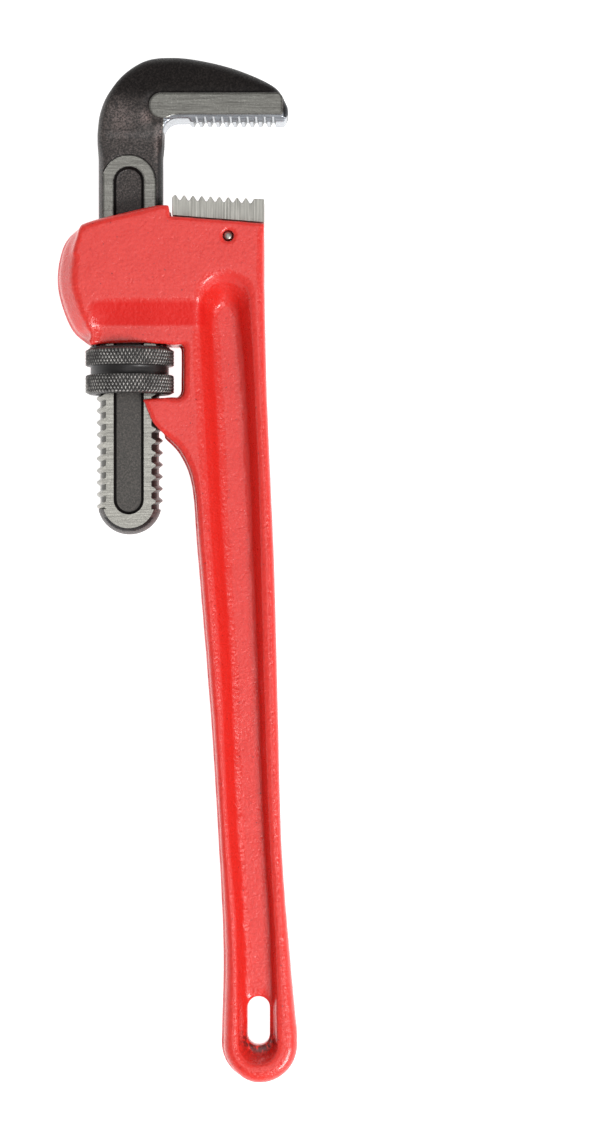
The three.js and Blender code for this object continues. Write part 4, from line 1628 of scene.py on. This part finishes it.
@dataclass
class HeelJaw:
    """The heel jaw: a toothed head on a tongue that the pin holds in the casting."""

    left: float = 18.2
    right: float = 56.4
    half: float = 11.2
    top: tuple[float, float] = (71.6, 69.9)
    seat: tuple[float, float] = (63.2, 60.2)
    teeth: int = 9
    pitch: float = 3.66
    depth: float = 2.1
    corner: float = 1.0
    tongue: tuple[float, float, float, float] = (32.0, 51.0, 49.2, 5.0)
    pin: Point = HEEL_PIN
    pin_r: float = 2.0
    pin_room: float = 0.3
    pin_reach: float = 14.1

    def outline(self) -> np.ndarray:
        """Draws the head with its teeth.

        Returns:
            The closed line.
        """
        fall = (self.top[1] - self.top[0]) / (self.right - self.left)
        p = self.pitch
        line = [(self.left, self.seat[0]), (self.left, self.top[0] - self.corner)]
        for i in range(self.teeth):
            at = self.left + self.corner + i * p
            tip = self.top[0] + fall * (at - self.left)
            root = tip - self.depth
            line += [(at, tip), (at + 0.16 * p, tip), (at + 0.52 * p, root), (at + 0.68 * p, root)]
        last = self.left + self.corner + self.teeth * p
        line += [(last, self.top[0] + fall * (last - self.left)), (self.right, self.top[1]),
                 (self.right, self.seat[1])]
        return np.array(line)

    def build(self, shop: PaintShop) -> bpy.types.Object:
        """Makes the heel jaw and finishes it.

        Args:
            shop: Where its finish comes from.

        Returns:
            The piece.
        """
        piece = prism("heel_jaw_insert", self.outline(), self.half)
        left, right, low, half = self.tongue
        loop = np.array([(left, low), (right, low), (right, 66), (left, 66)], float)
        cut(piece, prism("tongue", loop, half), "UNION")
        ring = Outline((self.pin[0] + self.pin_r + self.pin_room, self.pin[1]))
        ring.arc(self.pin, self.pin_r + self.pin_room, 0, 2 * math.pi - 0.12)
        cut(piece, prism("pin_way", ring.loop(), 20))
        bevel(piece, 0.22)
        shop.fit(piece, Finish.GROUND, "handle", "heel_jaw")
        return piece

    def build_pin(self, shop: PaintShop) -> bpy.types.Object:
        """Makes the cross pin with its domed ends.

        Args:
            shop: Where its finish comes from.

        Returns:
            The piece.
        """
        r, reach, sides = self.pin_r, self.pin_reach, 40
        rows = [(reach - 1.3, r), (reach - 0.7, 0.93 * r), (reach - 0.25, 0.7 * r),
                (reach - 0.05, 0.38 * r), (reach, 0.08 * r)]
        rows = [(-z, radius) for z, radius in reversed(rows)] + rows
        angle = full_turn(sides)
        vertices = np.vstack([
            np.column_stack([self.pin[0] + radius * np.cos(angle),
                             self.pin[1] + radius * np.sin(angle), np.full(sides, z)])
            for z, radius in rows])
        piece = closed_object("heel_jaw_cross_pin", vertices, tube_faces(len(rows), sides))
        shop.fit(piece, Finish.GROUND, "handle", "heel_jaw_pin")
        return piece


# ---- springs --------------------------------------------------------------------------------


@dataclass
class SprungAssembly:
    """The leaf, its rivet and the coil behind it, inside the housing."""

    coil_y: float = 44.0
    coil_r: float = 3.65
    wire_r: float = 0.45
    turns: float = 5.0
    steps_per_turn: int = 28
    reach: tuple[float, float] = (17.4, 26.6)

    def build(self, shop: PaintShop) -> None:
        """Winds the coil and finishes the leaf and the rivet.

        Args:
            shop: Where the finishes come from.
        """
        steps, sides = int(self.steps_per_turn * self.turns), 12
        t = np.linspace(0, 1, steps + 1)
        turn = 2 * math.pi * self.turns * t
        first, last = self.reach[0] + self.wire_r, self.reach[1] - self.wire_r
        x = first + (last - first) * t
        out = np.stack([np.zeros_like(t), np.cos(turn), np.sin(turn)], 1)
        centre = np.stack([x, np.full_like(t, self.coil_y), np.zeros_like(t)], 1)
        centre += self.coil_r * out
        side = np.array([1.0, 0, 0])
        angle = full_turn(sides)
        rings = (centre[:, None] + self.wire_r * (
            np.cos(angle)[None, :, None] * out[:, None] + np.sin(angle)[None, :, None] * side))
        piece = closed_object("coil_spring_wire", rings.reshape(-1, 3),
                              tube_faces(steps + 1, sides))
        shop.fit(piece, Finish.SPRING, "handle", "coil_spring")
        for node in ("leaf_spring", "spring_rivet"):
            shop.dress(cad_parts[node], Finish.SPRING)
            LOG.info("%s: kept from the frame", node)


# ---- studio ---------------------------------------------------------------------------------


@dataclass
class Studio:
    """The camera straight above, the pale floor and the soft lights."""

    distance: float = 1.3
    view_height: float = 0.4706
    aim: Point = (70.39, -80.85)
    sensor: float = 36.0
    floor_half: float = 6.0
    floor_gap: float = 0.0002
    floor_colour: Colour = (0.60, 0.60, 0.60)
    table_glow: float = 0.94
    room: tuple[float, float, float, float] = (0.16, 0.45, 1.05, 0.36)

    def camera(self) -> None:
        """Places the camera over the middle of the view."""
        data = bpy.data.cameras.new("camera")
        data.sensor_width = self.sensor
        data.lens = self.sensor * self.distance / self.view_height
        lens = bpy.data.objects.new("camera", data)
        lens.location = (*DRAWING.metres([(*self.aim, 0)])[0][:2],
                         DRAWING.origin()[2] + self.distance)
        bpy.context.scene.collection.objects.link(lens)
        bpy.context.scene.camera = lens
        data.clip_end = 50

    def floor(self) -> None:
        """Lays a pale floor under the wrench, lit a little from below like a light table."""
        mesh = bpy.data.meshes.new("floor")
        half = self.floor_half
        mesh.from_pydata([(-half, -half, 0), (half, -half, 0), (half, half, 0), (-half, half, 0)],
                         [], [(0, 1, 2, 3)])
        slab = bpy.data.objects.new("floor", mesh)
        slab.location.z = CAD_BOX[0][2] - self.floor_gap
        bpy.context.scene.collection.objects.link(slab)
        bench = NodeBench("pale_floor")
        bench.fix(Base_Color=self.floor_colour, Roughness=0.8, Specular_IOR_Level=0.1)
        bench.fix(Emission_Color=(1.0, 1.0, 1.0), Emission_Strength=self.table_glow)
        mesh.materials.append(bench.material)

    def lamp(self, name: str, place: tuple, turn: tuple, size: Point, radiance: float,
             tint: Colour = (1.0, 1.0, 1.0)) -> None:
        """Hangs one soft light.

        Args:
            name: The light's name.
            place: Where it hangs, in metres.
            turn: Its rotation in degrees.
            size: The two sides of its panel.
            radiance: How bright the panel itself looks.
            tint: Its colour.
        """
        data = bpy.data.lights.new(name, "AREA")
        data.shape, data.size, data.size_y = "RECTANGLE", *size
        data.energy = radiance * math.pi * size[0] * size[1]
        data.color = tint
        lamp = bpy.data.objects.new(name, data)
        lamp.location = place
        lamp.rotation_euler = Euler([math.radians(a) for a in turn])
        bpy.context.scene.collection.objects.link(lamp)

    def sky(self) -> None:
        """Makes a room that is white at its horizon and dim above."""
        world = bpy.data.worlds.new("studio")
        world.use_nodes = True
        nodes, links = world.node_tree.nodes, world.node_tree.links
        split = nodes.new("ShaderNodeSeparateXYZ")
        links.new(nodes.new("ShaderNodeTexCoord").outputs["Generated"], split.inputs["Vector"])
        fall = nodes.new("ShaderNodeMapRange")
        links.new(split.outputs["Z"], fall.inputs["Value"])
        for key, value in zip(MAP_RANGE_ENDS, self.room):
            fall.inputs[key].default_value = value
        links.new(fall.outputs["Result"], nodes["Background"].inputs["Strength"])
        nodes["Background"].inputs["Color"].default_value = (1, 1, 1, 1)
        bpy.context.scene.world = world

    def build(self) -> None:
        """Sets the whole studio up."""
        self.camera()
        self.floor()
        self.sky()
        self.lamp("top_light", (-0.07, 0.13, 1.9), (0, 0, 0), (0.55, 1.30), 1.6)
        self.lamp("key_light", (1.0, -0.95, 1.5), (32, 33, 0), (0.7, 0.7), 21.0)
        bpy.context.scene.view_settings.view_transform = "Standard"


def main() -> None:
    """Builds every sub-assembly in order."""
    logging.basicConfig(level=logging.INFO, format="%(name)s: %(message)s")
    Studio().build()
    shop = PaintShop()
    HandleCasting().build(shop)
    screw = ShankScrew()
    screw.build(shop)
    HookForging(screw).build(shop)
    AdjustingNut(screw).build(shop)
    heel = HeelJaw()
    heel.build(shop)
    heel.build_pin(shop)
    SprungAssembly().build(shop)
    LOG.info("boxes written")


if __name__ == "__main__":
    main()
